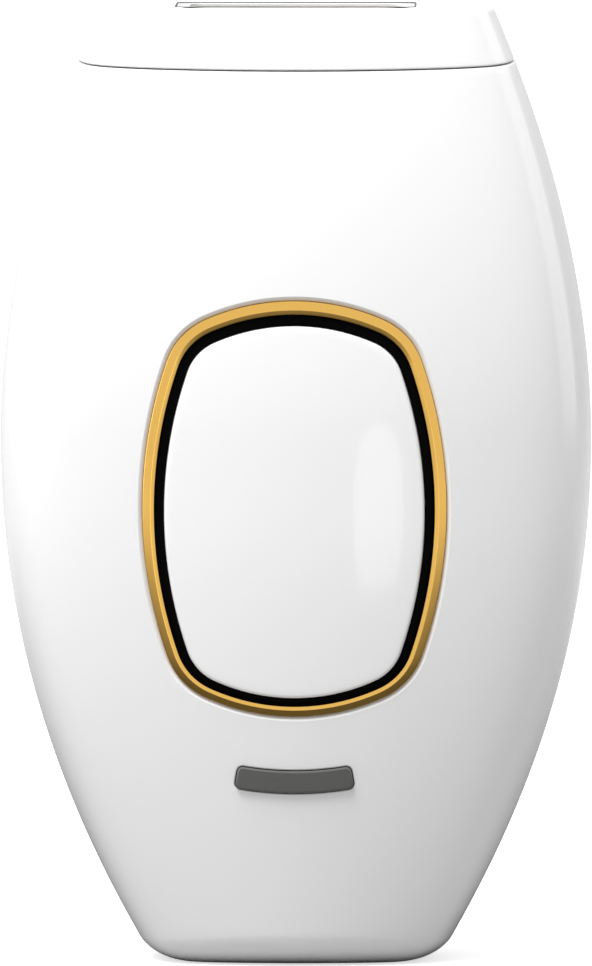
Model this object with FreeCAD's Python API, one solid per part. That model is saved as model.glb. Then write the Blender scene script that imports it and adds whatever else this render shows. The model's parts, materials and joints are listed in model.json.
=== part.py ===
"""Handheld light-pulse hair remover, as an assembly of its separate pieces.

A barrel-shaped housing of two white shells stands on a small flat base. A pull-off lamp head
plugs into its top. The front carries a large oval flash button inside a black ring and a gold
trim ring, with a small curved level button below. Inside are the control board, the power
board with its capacitor and transformer, a cooling fan, the power inlet and the lamp head's
socket.

Frame: +Z runs up to the treatment window, -Y is the front, +X is to the right, and the
origin is the middle of the flat base, on the plane where the two shells meet.
All sizes are in millimetres.
"""
import FreeCAD
import Part
import math
import os

Vector = FreeCAD.Vector
X_AXIS = Vector(1, 0, 0)
Y_AXIS = Vector(0, 1, 0)
Z_AXIS = Vector(0, 0, 1)

# --- Driving sizes of the housing -------------------------------------------------------
BODY_HEIGHT = 140.5          # base to treatment face
BODY_HALF_WIDTH = 43.5       # at the widest section
FRONT_DEPTH = 22.0           # parting plane to the front crown, at the widest section
REAR_DEPTH = 21.5            # parting plane to the rear crown
WIDEST_SHARE = 0.55          # height of the widest section over the body height
TOP_HALF_WIDTH = 28.9
BASE_HALF_WIDTH = 21.1       # before the base edge is rounded
TOP_DEPTH = 11.0             # parting plane to either side of the treatment face
BASE_DEPTH = 14.5
UPPER_POWER = 1.88           # how the outline narrows above the widest section
LOWER_POWER = 2.08           # and below it
BASE_ROUND = 7.0
WALL = 2.2
FLOOR = 2.6                  # thickness of the base
CROWN_DROP = 0.35            # how far the crowned face falls off towards the sides
SIDE_REACH = 1.45            # how steeply the side walls rise to meet the crown
SHOULDER_SOFT = 3.4          # sharpness of the edge between face and side, at the top
SHOULDER_SHARP = 7.5         # and at the base, on the front only
PARTING_GAP = 0.16           # hairline between the two shells
SEAM_GAP = 0.20              # hairline between lamp head and housing
LIP_HEIGHT = 1.2             # tongue of the front shell inside the rear one
LIP_CLEARANCE = 0.10

# --- Front controls ---------------------------------------------------------------------
RING_DROP = 9.5              # ring centre below the widest section
RING_HALF_WIDTH = 22.2
RING_HALF_HEIGHT = 30.4
RING_SIDE_RADIUS = 66.1
RING_END_RADIUS = 32.0
RING_CORNER_RADIUS = 10.4
GOLD_WIDTH = 1.7
BLACK_WIDTH = 1.31
OVAL_LEAN = 0.5              # the button's oval sits this much lower than the ring's outer oval
RING_CLEARANCE = 0.05
CAP_CLEARANCE = 0.12
GOLD_PROUD = 0.30
BLACK_RECESS = 0.45
RING_DEPTH = 3.2             # how deep both rings reach below the surface
RECESS_WIDTH = 0.70          # shallow step in the shell around the gold ring
RECESS_DEPTH = 0.40
CAP_PROUD = 0.10
CAP_THICKNESS = 2.1
FLASH_TRAVEL = 0.8
FLANGE_THICKNESS = 0.8
BAR_GAP = 8.1               # ring to level button
BAR_HEIGHT = 3.25
BAR_BEND = 46.6              # radius of the level button's upper edge
BAR_HALF_CHORD = 8.2
BAR_CORNER = 0.8
BAR_PROUD = 0.55
BAR_CLEARANCE = 0.12
LEVEL_TRAVEL = 0.5
RETAINER_DEPTH = 7.5         # front crown to the retainer plate
RETAINER_THICKNESS = 1.5
POST_RADIUS = 2.0
POST_INSET = 11.4            # ring's end to the post's centre
STEM_RADIUS = 2.2
SLIDING_CLEARANCE = 0.06
SLEEVE_RADIUS = 3.1
LED_COUNT = 5
LED_PITCH = 6.0
LED_DROP = 11.0
PIPE_RADIUS = 1.1
SWITCH_SIZE = 6.0
SWITCH_HEIGHT = 3.2
PLUNGER_RADIUS = 1.7
PLUNGER_LENGTH = 0.95
CONTROL_BOARD_THICKNESS = 1.2
CONTROL_BOARD_HALF_WIDTH = 17.0

# --- Power side -------------------------------------------------------------------------
MAIN_BOARD_THICKNESS = 1.6
MAIN_BOARD_HALF_WIDTH = 23.0
MAIN_BOARD_BOTTOM = 19.0
CAPACITOR_RADIUS = 8.0
CAPACITOR_LENGTH = 30.0
CAPACITOR_CLEARANCE = 2.6    # capacitor to the rear wall
FAN_SIZE = 30.0
FAN_DEPTH = 8.0
FAN_GAP = 0.6                # upper edge of the fan to the rear wall
FAN_BLADES = 7
FAN_HUB_RADIUS = 6.3
SHAFT_RADIUS = 0.75
JACK_HALF_WIDTH = 4.5
JACK_HALF_DEPTH = 5.0
JACK_TOP = 14.0
JACK_NOSE_RADIUS = 4.2
JACK_BORE_RADIUS = 2.85
JACK_PIN_RADIUS = 1.0
SHELL_SCREW_RADIUS = 1.5
SHELL_BOSS_RADIUS = 4.2
SMALL_SCREW_RADIUS = 1.0
BOARD_SCREW_RADIUS = 1.25

# --- Lamp head --------------------------------------------------------------------------
HEAD_HEIGHT = 7.9            # treatment face to the seam, at the parting plane
SEAM_TILT = 5.2              # degrees, lower at the front
HEAD_WALL = 2.0
HEAD_EDGE_ROUND = 0.8
HEAD_TRAVEL = 26.0
FRAME_HALF_WIDTH = 17.5
FRAME_HALF_DEPTH = 9.25
FRAME_CORNER = 2.5
WINDOW_HALF_WIDTH = 15.5
WINDOW_HALF_DEPTH = 6.1
GLASS_THICKNESS = 2.2
GLASS_RECESS = 0.5
PLUG_HALF_WIDTH = 26.2
PLUG_HALF_DEPTH = 8.3
PLUG_CORNER = 5.5
PLUG_WALL = 1.3
PLUG_CLEARANCE = 0.25
PLUG_DEPTH = 25.3            # treatment face to the bottom of the plug
DECK_DROP = 13.0             # treatment face to the top of the socket's deck
DECK_THICKNESS = 2.0
SOCKET_WALL = 1.4
PIN_RADIUS = 0.8
PIN_SPREAD = 14.0
LAMP_RADIUS = 2.5
LAMP_DROP = 10.9             # treatment face to the lamp's axis
SENSOR_RADIUS = 1.1
SENSOR_OFFSET = 19.0

# --- Places worked out from the sizes ---------------------------------------------------
WIDEST_Z = WIDEST_SHARE * BODY_HEIGHT
RING_Z = WIDEST_Z - RING_DROP
BAR_TOP_Z = RING_Z - RING_HALF_HEIGHT - BAR_GAP
BAR_Z = BAR_TOP_Z - BAR_HEIGHT / 2
SEAM_Z = BODY_HEIGHT - HEAD_HEIGHT
DECK_TOP = BODY_HEIGHT - DECK_DROP
PLUG_BOTTOM = BODY_HEIGHT - PLUG_DEPTH
SOCKET_FLOOR_TOP = PLUG_BOTTOM - 0.2
SOCKET_FLOOR = SOCKET_FLOOR_TOP - 1.6
MAIN_BOARD_TOP = SOCKET_FLOOR - 8.0
FAN_Z = SOCKET_FLOOR - 1.0 - FAN_SIZE / 2
LAMP_Z = BODY_HEIGHT - LAMP_DROP
FAR = 200.0                  # longer than anything in the model


def outline(widest, top, base, z):
    """Half width or depth of the housing at height z."""
    if z >= WIDEST_Z:
        share = (z - WIDEST_Z) / (BODY_HEIGHT - WIDEST_Z)
        return widest - (widest - top) * share ** UPPER_POWER
    share = (WIDEST_Z - z) / WIDEST_Z
    return widest - (widest - base) * share ** LOWER_POWER


def half_width(z):
    return outline(BODY_HALF_WIDTH, TOP_HALF_WIDTH, BASE_HALF_WIDTH, z)


def front_depth(z):
    return outline(FRONT_DEPTH, TOP_DEPTH, BASE_DEPTH, z)


def rear_depth(z):
    return outline(REAR_DEPTH, TOP_DEPTH, BASE_DEPTH, z)


def lobe(depth, turn, sharpness):
    """Depth of the section at an angle: a gentle crown that meets a steep side at a shoulder."""
    crown = depth * (1 - CROWN_DROP * math.cos(turn) ** 2)
    side = SIDE_REACH * depth * math.sin(turn)
    if side < 1e-9:
        return 0.0
    blend = (crown ** sharpness + side ** sharpness) ** (1 / sharpness)
    at_crown = SIDE_REACH / (1 + SIDE_REACH ** sharpness) ** (1 / sharpness)
    return crown * side / blend / at_crown


SECTION_POINTS = 48
SECTIONS = 12


def section(z, inset):
    """Closed curve of the housing at height z, moved inwards by inset."""
    low = max(0.0, 1 - z / WIDEST_Z)
    front_sharpness = SHOULDER_SOFT + (SHOULDER_SHARP - SHOULDER_SOFT) * low
    width = half_width(z) - inset
    points = []
    for i in range(SECTION_POINTS):
        turn = 2 * math.pi * i / SECTION_POINTS
        if turn <= math.pi:
            y = -lobe(front_depth(z) - inset, turn, front_sharpness)
        else:
            y = lobe(rear_depth(z) - inset, 2 * math.pi - turn, SHOULDER_SOFT)
        points.append(Vector(width * math.cos(turn), y, z))
    curve = Part.BSplineCurve()
    steps = [i / SECTION_POINTS for i in range(SECTION_POINTS + 1)]
    curve.interpolate(Points=points, PeriodicFlag=True, Parameters=steps)
    return Part.Wire([curve.toShape()])


_lofts = {}


def body_at(inset):
    """The housing's full outer form moved inwards by inset, as a solid from base to top."""
    if inset not in _lofts:
        heights = [BODY_HEIGHT * i / SECTIONS for i in range(SECTIONS + 1)]
        wires = [section(z, inset) for z in heights]
        _lofts[inset] = Part.makeLoft(wires, True, False)
    return _lofts[inset]


def block(x, y, z):
    """Box between the low and high values given for each axis."""
    size = [high - low for low, high in (x, y, z)]
    return Part.makeBox(*size, Vector(x[0], y[0], z[0]))


def rod(radius, start, axis, length):
    return Part.makeCylinder(radius, length, start, axis)


def tube(outer, inner, start, axis, length):
    return rod(outer, start, axis, length).cut(rod(inner, start, axis, length))


def joined(first, *others):
    return first.fuse(list(others)).removeSplitter()


def rounded_block(half_x, half_y, z, corner):
    """Upright block centred on the Z axis with rounded vertical edges."""
    plain = block((-half_x, half_x), (-half_y, half_y), z)
    upright = [e for e in plain.Edges if abs(e.tangentAt(e.FirstParameter).z) > 0.9]
    return plain.makeFillet(corner, upright)


def oval_frame(inset):
    """Centres and radii of the oval's side, end and corner arcs, in the XZ plane."""
    side_r = RING_SIDE_RADIUS - inset
    end_r = RING_END_RADIUS - inset
    corner_r = RING_CORNER_RADIUS - inset
    side_x = RING_HALF_WIDTH - RING_SIDE_RADIUS
    end_z = RING_HALF_HEIGHT - RING_END_RADIUS
    span = math.hypot(side_x, end_z)
    reach_side = RING_SIDE_RADIUS - RING_CORNER_RADIUS
    reach_end = RING_END_RADIUS - RING_CORNER_RADIUS
    along = (reach_side ** 2 - reach_end ** 2 + span ** 2) / (2 * span)
    across = math.sqrt(reach_side ** 2 - along ** 2)
    ux, uz = -side_x / span, end_z / span
    corner = (side_x + along * ux - across * uz, along * uz + across * ux)
    return side_x, side_r, end_z, end_r, corner, corner_r


def oval_prism(inset, y):
    """Prism along Y of the ring's oval, moved inwards by inset, between two y values."""
    middle = RING_Z - OVAL_LEAN * min(max(inset, 0) / CAP_INSET, 1)
    side_x, side_r, end_z, end_r, corner, corner_r = oval_frame(inset)
    side_turn = math.atan2(corner[1], corner[0] - side_x)
    end_turn = math.atan2(corner[1] - end_z, corner[0])

    def spot(cx, cz, radius, turn, flip_x, flip_z):
        x = flip_x * (cx + radius * math.cos(turn))
        z = flip_z * (cz + radius * math.sin(turn))
        return Vector(x, y[0], middle + z)

    edges = []
    for flip_x, flip_z in ((1, 1), (-1, 1), (-1, -1), (1, -1)):
        turns = [side_turn, (side_turn + end_turn) / 2, end_turn]
        edges.append(Part.Arc(*[spot(*corner, corner_r, t, flip_x, flip_z) for t in turns]))
    for flip in (1, -1):
        turns = (side_turn, 0.0, -side_turn)
        edges.append(Part.Arc(*[spot(side_x, 0, side_r, t, flip, 1) for t in turns]))
        turns = (end_turn, math.pi / 2, math.pi - end_turn)
        edges.append(Part.Arc(*[spot(0, end_z, end_r, t, 1, flip) for t in turns]))
    ordered = Part.sortEdges([e.toShape() for e in edges])[0]
    return Part.Face(Part.Wire(ordered)).extrude(Vector(0, y[1] - y[0], 0))


def oval_corner(outset):
    """Point outside the oval's upper right corner, as (x, z above the ring's centre)."""
    _, _, _, _, corner, corner_r = oval_frame(0)
    reach = (corner_r + outset) * math.sqrt(0.5)
    return corner[0] + reach, corner[1] + reach


def bar_prism(grow, y):
    """Prism along Y of the smile-shaped level button, grown by a margin."""
    centre_z = BAR_TOP_Z + BAR_BEND
    inner = BAR_BEND - grow
    outer = BAR_BEND + BAR_HEIGHT + grow
    half_turn = math.asin(BAR_HALF_CHORD / BAR_BEND) + grow / BAR_BEND

    def spot(radius, turn):
        return Vector(radius * math.sin(turn), y[0], centre_z - radius * math.cos(turn))

    turns = (-half_turn, 0.0, half_turn)
    edges = [
        Part.Arc(*[spot(inner, t) for t in turns]).toShape(),
        Part.makeLine(spot(inner, half_turn), spot(outer, half_turn)),
        Part.Arc(*[spot(outer, t) for t in reversed(turns)]).toShape(),
        Part.makeLine(spot(outer, -half_turn), spot(inner, -half_turn)),
    ]
    solid = Part.Face(Part.Wire(edges)).extrude(Vector(0, y[1] - y[0], 0))
    along_y = [e for e in solid.Edges if abs(e.tangentAt(e.FirstParameter).y) > 0.9]
    return solid.makeFillet(BAR_CORNER + grow, along_y)


def below_seam(gap):
    """Everything under the tilted seam between head and housing, less a gap."""
    under = block((-FAR, FAR), (-FAR, FAR), (-FAR, SEAM_Z - gap))
    under.rotate(Vector(0, 0, SEAM_Z), X_AXIS, SEAM_TILT)
    return under


def screw(tip_to_head, radius, head_radius, head_height, seat, axis):
    """Screw whose head sits on seat; axis points from the head towards the tip."""
    shaft = rod(radius, seat, axis, tip_to_head)
    head = rod(head_radius, seat - axis * head_height, axis, head_height)
    slot = block((-0.35, 0.35), (-FAR, FAR), (-FAR, FAR))
    slot = slot.common(rod(head_radius * 0.7, Vector(0, 0, 0), Z_AXIS, head_height * 0.5))
    turn = FreeCAD.Rotation(Z_AXIS, axis)
    slot.Placement = FreeCAD.Placement(seat - axis * head_height, turn)
    return joined(shaft, head).cut(slot)


_written = []


def save(name, *solids):
    """Writes one node's solids to parts/NAME.step; each must be one valid solid."""
    shape = solids[0] if len(solids) == 1 else Part.makeCompound(list(solids))
    for solid in solids:
        if len(solid.Solids) != 1 or not solid.isValid():
            raise ValueError(f"{name} has a piece with {len(solid.Solids)} solids or an invalid one")
    shape.exportStep(os.path.join("parts", name + ".step"))
    _written.append(name)
    print(f"{name:24s} {len(shape.Solids):3d} solids {shape.Volume:10.1f} mm3")


# --- Stations along Y, from the front crown inwards -------------------------------------
FRONT_Y = -front_depth(RING_Z)
RETAINER_Y = FRONT_Y + RETAINER_DEPTH
RETAINER_BACK = RETAINER_Y + RETAINER_THICKNESS
STEM_END = RETAINER_BACK + 0.7
PLUNGER_TIP = STEM_END + 0.02
SWITCH_FRONT = PLUNGER_TIP + PLUNGER_LENGTH
CONTROL_BOARD_Y = SWITCH_FRONT + SWITCH_HEIGHT
CONTROL_BOARD_BACK = CONTROL_BOARD_Y + CONTROL_BOARD_THICKNESS
CAP_INSET = GOLD_WIDTH + RING_CLEARANCE + BLACK_WIDTH + CAP_CLEARANCE
FLANGE_TOP = RING_DEPTH + 0.08

TRANSFORMER_BOTTOM = MAIN_BOARD_BOTTOM + 3.0
TRANSFORMER_HEIGHT = 14.0
CAPACITOR_Z = TRANSFORMER_BOTTOM + TRANSFORMER_HEIGHT + 1.5 + CAPACITOR_RADIUS
MAIN_BOARD_BACK = (
    rear_depth(CAPACITOR_Z) * 0.95 - WALL - 2 * CAPACITOR_RADIUS - CAPACITOR_CLEARANCE
)
MAIN_BOARD_Y = MAIN_BOARD_BACK - MAIN_BOARD_THICKNESS
PIN_Y = MAIN_BOARD_BACK + 0.3
FAN_BACK = rear_depth(FAN_Z + FAN_SIZE / 2) * 0.95 - WALL - FAN_GAP
FAN_Y = FAN_BACK - FAN_DEPTH

# --- Screw places -----------------------------------------------------------------------
LOWER_SCREW_Z = 12.5
UPPER_SCREW_Z = SOCKET_FLOOR - 9.5
SCREW_SEAT_Y = 5.5
SHELL_SCREW_REACH = 13.0
SHELL_SCREWS = [
    (side * (half_width(z) - WALL - SHELL_BOSS_RADIUS - 0.4), z)
    for z in (LOWER_SCREW_Z, UPPER_SCREW_Z)
    for side in (-1, 1)
]
RETAINER_CORNER = oval_corner(2.7)
RETAINER_SCREWS = [
    (sx * RETAINER_CORNER[0], RING_Z + sz * RETAINER_CORNER[1])
    for sx in (-1, 1)
    for sz in (-1, 1)
]
CONTROL_SCREWS = [(sx * 13.5, RING_Z + dz) for sx in (-1, 1) for dz in (-22.0, 22.0)]
MAIN_SCREWS = [
    (sx * (MAIN_BOARD_HALF_WIDTH - 3.5), z)
    for sx in (-1, 1)
    for z in (MAIN_BOARD_BOTTOM + 4.0, MAIN_BOARD_TOP - 4.0)
]
FAN_SCREWS = [
    (sx * (FAN_SIZE / 2 - 3.0), FAN_Z + sz * (FAN_SIZE / 2 - 3.0))
    for sx in (-1, 1)
    for sz in (-1, 1)
]
HEAD_SCREWS = [(sx * 22.6, sy * 4.0) for sx in (-1, 1) for sy in (-1, 1)]
LED_PLACES = [
    (LED_PITCH * (i - (LED_COUNT - 1) / 2), RING_Z - LED_DROP) for i in range(LED_COUNT)
]


def hollow_housing():
    """The housing below the seam, hollow and still whole, with its rounded base."""
    outer = body_at(0)
    base_edge = [e for e in outer.Edges if e.BoundBox.ZMax < 0.01]
    outer = outer.makeFillet(BASE_ROUND, base_edge)
    cavity = body_at(WALL).common(block((-FAR, FAR), (-FAR, FAR), (FLOOR, FAR)))
    floor_edge = [e for e in cavity.Edges if e.BoundBox.ZMax < FLOOR + 0.01]
    cavity = cavity.makeFillet(BASE_ROUND - WALL, floor_edge)
    return outer.cut(cavity).common(below_seam(SEAM_GAP / 2))


def shelves(y):
    """Short ledges under the socket's deck, clear of its collar, between two y values."""
    ring = body_at(WALL - 0.3).cut(body_at(WALL + 1.6))
    top = DECK_TOP - DECK_THICKNESS - 0.05
    beside_collar = PLUG_HALF_WIDTH + PLUG_CLEARANCE + SOCKET_WALL + 0.8
    spans = ((-FAR, -beside_collar), (-15, 15), (beside_collar, FAR))
    return [ring.common(block(x, y, (top - 1.6, top))) for x in spans]


def lip(clearance, low, high):
    """The tongue along the parting plane, or with clearance the groove that takes it."""
    ring = body_at(WALL / 2 + 0.05 - clearance).cut(body_at(WALL + clearance / 2))
    return ring.common(block((-FAR, FAR), (low, high), (9 - clearance, 124 + clearance)))


def jack_cradle():
    """Four walls around the power inlet, standing on the floor of the housing."""
    outer = block((-6.4, 6.4), (-6.9, 6.9), (FLOOR - 0.5, JACK_TOP - 2))
    margin = 0.08
    half_x, half_y = JACK_HALF_WIDTH + margin, JACK_HALF_DEPTH + margin
    return outer.cut(block((-half_x, half_x), (-half_y, half_y), (0, JACK_TOP)))


def inlet_hole():
    return rod(JACK_NOSE_RADIUS + 0.15, Vector(0, 0, -1), Z_AXIS, FLOOR + 1.05)


def bosses(places, radius, y):
    """Round bosses along Y at (x, z) places, ended by the inside of the housing's wall."""
    solids = [rod(radius, Vector(x, y[0], z), Y_AXIS, y[1] - y[0]) for x, z in places]
    return [solid.common(body_at(WALL / 2)) for solid in solids]


def holes(places, radius, y):
    return [rod(radius, Vector(x, y[0], z), Y_AXIS, y[1] - y[0]) for x, z in places]


def front_shell(housing):
    half = housing.common(block((-FAR, FAR), (-FAR, -PARTING_GAP / 2), (-1, FAR)))
    cradle = jack_cradle().common(block((-FAR, FAR), (-FAR, -PARTING_GAP / 2), (0, FAR)))
    shell = joined(
        half,
        lip(0, -2.0, LIP_HEIGHT),
        cradle,
        *shelves((-FAR, -PARTING_GAP / 2)),
        *bosses(SHELL_SCREWS, SHELL_BOSS_RADIUS - 0.8, (-FAR, -PARTING_GAP / 2)),
        *bosses(RETAINER_SCREWS, 2.2, (-FAR, RETAINER_Y)),
    )
    cuts = [
        oval_prism(-RING_CLEARANCE, (-FAR, RETAINER_Y)),
        oval_prism(-RECESS_WIDTH, (-FAR, RETAINER_Y)).cut(body_at(RECESS_DEPTH)),
        bar_prism(BAR_CLEARANCE, (-FAR, RETAINER_Y)),
        inlet_hole(),
        *holes(SHELL_SCREWS, SHELL_SCREW_RADIUS + 0.03, (SCREW_SEAT_Y - 13.4, 0)),
        *holes(RETAINER_SCREWS, SMALL_SCREW_RADIUS + 0.03, (RETAINER_Y - 2.2, RETAINER_Y)),
    ]
    return shell.cut(cuts)


def vent_slots():
    """Rows of slots in the rear wall: the fan's intake, and an outlet low on the back."""
    rows = [(FAN_Z + 3.6 * i, 13.0, 3.6 * i) for i in range(-3, 4)]
    rows += [(CAPACITOR_Z - 5.4 + 3.6 * i, 11.0, 2.4 * (i - 1.5)) for i in range(4)]
    slots = []
    for z, reach, offset in rows:
        half = math.sqrt(reach ** 2 - offset ** 2)
        body = block((-half, half), (8, FAR), (z - 0.8, z + 0.8))
        ends = [rod(0.8, Vector(x, 8, z), Y_AXIS, FAR) for x in (-half, half)]
        slots.append(joined(body, *ends))
    return slots


def rear_shell(housing):
    half = housing.common(block((-FAR, FAR), (PARTING_GAP / 2, FAR), (-1, FAR)))
    cradle = jack_cradle().common(block((-FAR, FAR), (PARTING_GAP / 2, FAR), (0, FAR)))
    shell = joined(half, cradle, *shelves((PARTING_GAP / 2, FAR)))
    shell = shell.cut(lip(LIP_CLEARANCE, -1, LIP_HEIGHT + 0.15))
    open_wall = shell.cut(vent_slots())
    shell = joined(
        open_wall,
        *bosses(SHELL_SCREWS, SHELL_BOSS_RADIUS, (LIP_HEIGHT + 0.15, FAR)),
        *bosses(MAIN_SCREWS, 3.0, (MAIN_BOARD_BACK, FAR)),
        *bosses(FAN_SCREWS, 2.3, (FAN_BACK, FAR)),
    )
    cuts = [
        inlet_hole(),
        *holes(SHELL_SCREWS, SHELL_SCREW_RADIUS + 0.15, (0, FAR)),
        *holes(SHELL_SCREWS, 3.1, (SCREW_SEAT_Y, FAR)),
        *holes(MAIN_SCREWS, BOARD_SCREW_RADIUS + 0.03, (MAIN_BOARD_BACK, MAIN_BOARD_BACK + 6)),
        *holes(FAN_SCREWS, SMALL_SCREW_RADIUS + 0.03, (FAN_BACK, FAN_BACK + 1.8)),
    ]
    return shell.cut(cuts)


def shell_fasteners():
    screws = [
        screw(SHELL_SCREW_REACH, SHELL_SCREW_RADIUS, 2.75, 2.0, Vector(x, SCREW_SEAT_Y, z), -Y_AXIS)
        for x, z in SHELL_SCREWS
    ]
    skin = body_at(0).cut(body_at(1.5))
    plugs = [skin.common(hole) for hole in holes(SHELL_SCREWS, 3.05, (SCREW_SEAT_Y, FAR))]
    return screws, plugs


def ring_between(outer_inset, inner_inset, top_inset, bottom_inset):
    """Ring on the oval that follows the crowned surface between two depths."""
    ring = oval_prism(outer_inset, (-FAR, 0)).cut(oval_prism(inner_inset, (-FAR, 0)))
    return ring.common(body_at(top_inset)).cut(body_at(bottom_inset))


def gold_ring():
    return ring_between(0, GOLD_WIDTH, -GOLD_PROUD, RING_DEPTH)


def black_ring():
    start = GOLD_WIDTH + RING_CLEARANCE
    return ring_between(start, start + BLACK_WIDTH, BLACK_RECESS, RING_DEPTH)


def button_retainer():
    """Plate behind the rings: it seats them, guides the flash button and carries the board."""
    outline_solid = oval_prism(-5.0, (RETAINER_Y, RETAINER_BACK))
    plate = outline_solid.common(body_at(WALL + 0.4))
    rim = oval_prism(RING_CLEARANCE, (-FAR, RETAINER_Y))
    rim = rim.cut(oval_prism(GOLD_WIDTH + 0.4, (-FAR, RETAINER_Y)))
    rim = rim.common(body_at(RING_DEPTH + 0.03))
    standoffs = [
        rod(2.4, Vector(x, RETAINER_BACK, z), Y_AXIS, CONTROL_BOARD_Y - RETAINER_BACK)
        for x, z in CONTROL_SCREWS
    ]
    whole = joined(plate, rim, *standoffs)
    posts = [(0, RING_Z + side * (RING_HALF_HEIGHT - POST_INSET)) for side in (-1, 1)]
    through = (RETAINER_Y - 1, RETAINER_BACK + 1)
    cuts = [
        *holes(posts, POST_RADIUS + SLIDING_CLEARANCE, through),
        *holes([(0, RING_Z)], STEM_RADIUS + SLIDING_CLEARANCE, through),
        *holes(LED_PLACES, PIPE_RADIUS + 0.03, through),
        *holes(RETAINER_SCREWS, SMALL_SCREW_RADIUS + 0.12, through),
        *holes(CONTROL_SCREWS, SMALL_SCREW_RADIUS + 0.03, (RETAINER_BACK, FAR)),
    ]
    return whole.cut(cuts)


def flash_button():
    """Oval cap that follows the crown, with a skirt, a stop flange, two posts and a stem."""
    skin = oval_prism(CAP_INSET, (-FAR, 0))
    plate = skin.common(body_at(-CAP_PROUD)).cut(body_at(CAP_THICKNESS))
    foot = FLANGE_TOP + FLANGE_THICKNESS
    skirt = skin.cut(oval_prism(CAP_INSET + 1.2, (-FAR, 0)))
    skirt = skirt.common(body_at(1.0)).cut(body_at(foot))
    flange = ring_between(GOLD_WIDTH + 0.6, CAP_INSET + 1.2, FLANGE_TOP, foot)
    posts = [
        rod(POST_RADIUS, Vector(0, -FAR, RING_Z + side * (RING_HALF_HEIGHT - POST_INSET)), Y_AXIS,
            FAR + RETAINER_BACK - 0.1)
        for side in (-1, 1)
    ]
    stem = rod(STEM_RADIUS, Vector(0, -FAR, RING_Z), Y_AXIS, FAR + STEM_END)
    inner = [solid.common(body_at(1.0)) for solid in (*posts, stem)]
    return joined(plate, skirt, flange, *inner)


def return_sleeves():
    """Soft silicone sleeves on the posts, between cap and retainer, that push the cap back."""
    sleeves = []
    for side in (-1, 1):
        z = RING_Z + side * (RING_HALF_HEIGHT - POST_INSET)
        start = -(front_depth(z) - CAP_THICKNESS) + 0.35
        sleeve = tube(
            SLEEVE_RADIUS, POST_RADIUS + 0.1, Vector(0, start, z), Y_AXIS, RETAINER_Y - start
        )
        sleeves.append(sleeve)
    return sleeves


def level_button():
    """Curved bar with a stop flange behind the wall and a stem to its switch."""
    bar = bar_prism(0, (-FAR, 0)).common(body_at(-BAR_PROUD)).cut(body_at(WALL + 1.0))
    flange = bar_prism(0.9, (-FAR, 0)).common(body_at(WALL + 0.12)).cut(body_at(WALL + 1.1))
    stem = rod(1.6, Vector(0, -FAR, BAR_Z), Y_AXIS, FAR + STEM_END)
    return joined(bar, flange, stem.common(body_at(1.0)))


def switches():
    """Bodies and plungers of the two switches, as (bodies, plungers)."""
    bodies = []
    plungers = []
    half = SWITCH_SIZE / 2
    for z in (RING_Z, BAR_Z):
        body = block((-half, half), (SWITCH_FRONT, CONTROL_BOARD_Y), (z - half, z + half))
        well = rod(PLUNGER_RADIUS + 0.08, Vector(0, SWITCH_FRONT, z), Y_AXIS, 1.6)
        bodies.append(body.cut(well))
        plungers.append(rod(PLUNGER_RADIUS, Vector(0, PLUNGER_TIP, z), Y_AXIS, PLUNGER_LENGTH + 0.5))
    return bodies, plungers


def control_board():
    low, high = BAR_Z - 5.5, RING_Z + 26.0
    x = (-CONTROL_BOARD_HALF_WIDTH, CONTROL_BOARD_HALF_WIDTH)
    board = block(x, (CONTROL_BOARD_Y, CONTROL_BOARD_BACK), (low, high))
    along_y = [e for e in board.Edges if abs(e.tangentAt(e.FirstParameter).y) > 0.9]
    board = board.makeFillet(2.5, along_y)
    return board.cut(holes(CONTROL_SCREWS, SMALL_SCREW_RADIUS + 0.12, (-FAR, 0)))


def light_parts():
    leds = []
    pipes = []
    for x, z in LED_PLACES:
        led = block((x - 1.0, x + 1.0), (CONTROL_BOARD_Y - 0.8, CONTROL_BOARD_Y), (z - 0.6, z + 0.6))
        leds.append(led)
        tip = -(front_depth(z) * (1 - CROWN_DROP * (x / half_width(z)) ** 2)) + CAP_THICKNESS
        start = tip + FLASH_TRAVEL + 0.3
        pipe = rod(PIPE_RADIUS, Vector(x, start, z), Y_AXIS, CONTROL_BOARD_Y - 0.9 - start)
        collar = rod(PIPE_RADIUS + 0.5, Vector(x, RETAINER_BACK, z), Y_AXIS, 0.8)
        pipes.append(joined(pipe, collar))
    return leds, pipes


def main_board():
    x = (-MAIN_BOARD_HALF_WIDTH, MAIN_BOARD_HALF_WIDTH)
    board = block(x, (MAIN_BOARD_Y, MAIN_BOARD_BACK), (MAIN_BOARD_BOTTOM, MAIN_BOARD_TOP))
    along_y = [e for e in board.Edges if abs(e.tangentAt(e.FirstParameter).y) > 0.9]
    board = board.makeFillet(2.0, along_y)
    return board.cut(holes(MAIN_SCREWS, BOARD_SCREW_RADIUS + 0.15, (-FAR, FAR)))


def flash_capacitor():
    """Can lying across the board, with the rolled groove near its terminal end."""
    start = Vector(-CAPACITOR_LENGTH / 2, MAIN_BOARD_BACK + CAPACITOR_RADIUS, CAPACITOR_Z)
    can = rod(CAPACITOR_RADIUS, start, X_AXIS, CAPACITOR_LENGTH)
    rims = [e for e in can.Edges if e.Closed]
    can = can.makeFillet(0.8, rims)
    groove = tube(CAPACITOR_RADIUS + 1, CAPACITOR_RADIUS - 0.5, start + X_AXIS * 3.0, X_AXIS, 1.2)
    return can.cut(groove)


def transformer():
    """Core halves around a wound bobbin, as (core, winding)."""
    y0 = MAIN_BOARD_BACK
    z0, z1 = TRANSFORMER_BOTTOM, TRANSFORMER_BOTTOM + TRANSFORMER_HEIGHT
    core = block((-15, 1), (y0, y0 + 12), (z0, z1))
    core = core.cut(block((-12.6, -1.4), (y0 - 1, y0 + 13), (z0 + 2.6, z1 - 2.6)))
    winding = block((-12.5, -1.5), (y0 + 0.4, y0 + 11.6), (z0 + 2.7, z1 - 2.7))
    return core, winding


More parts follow.
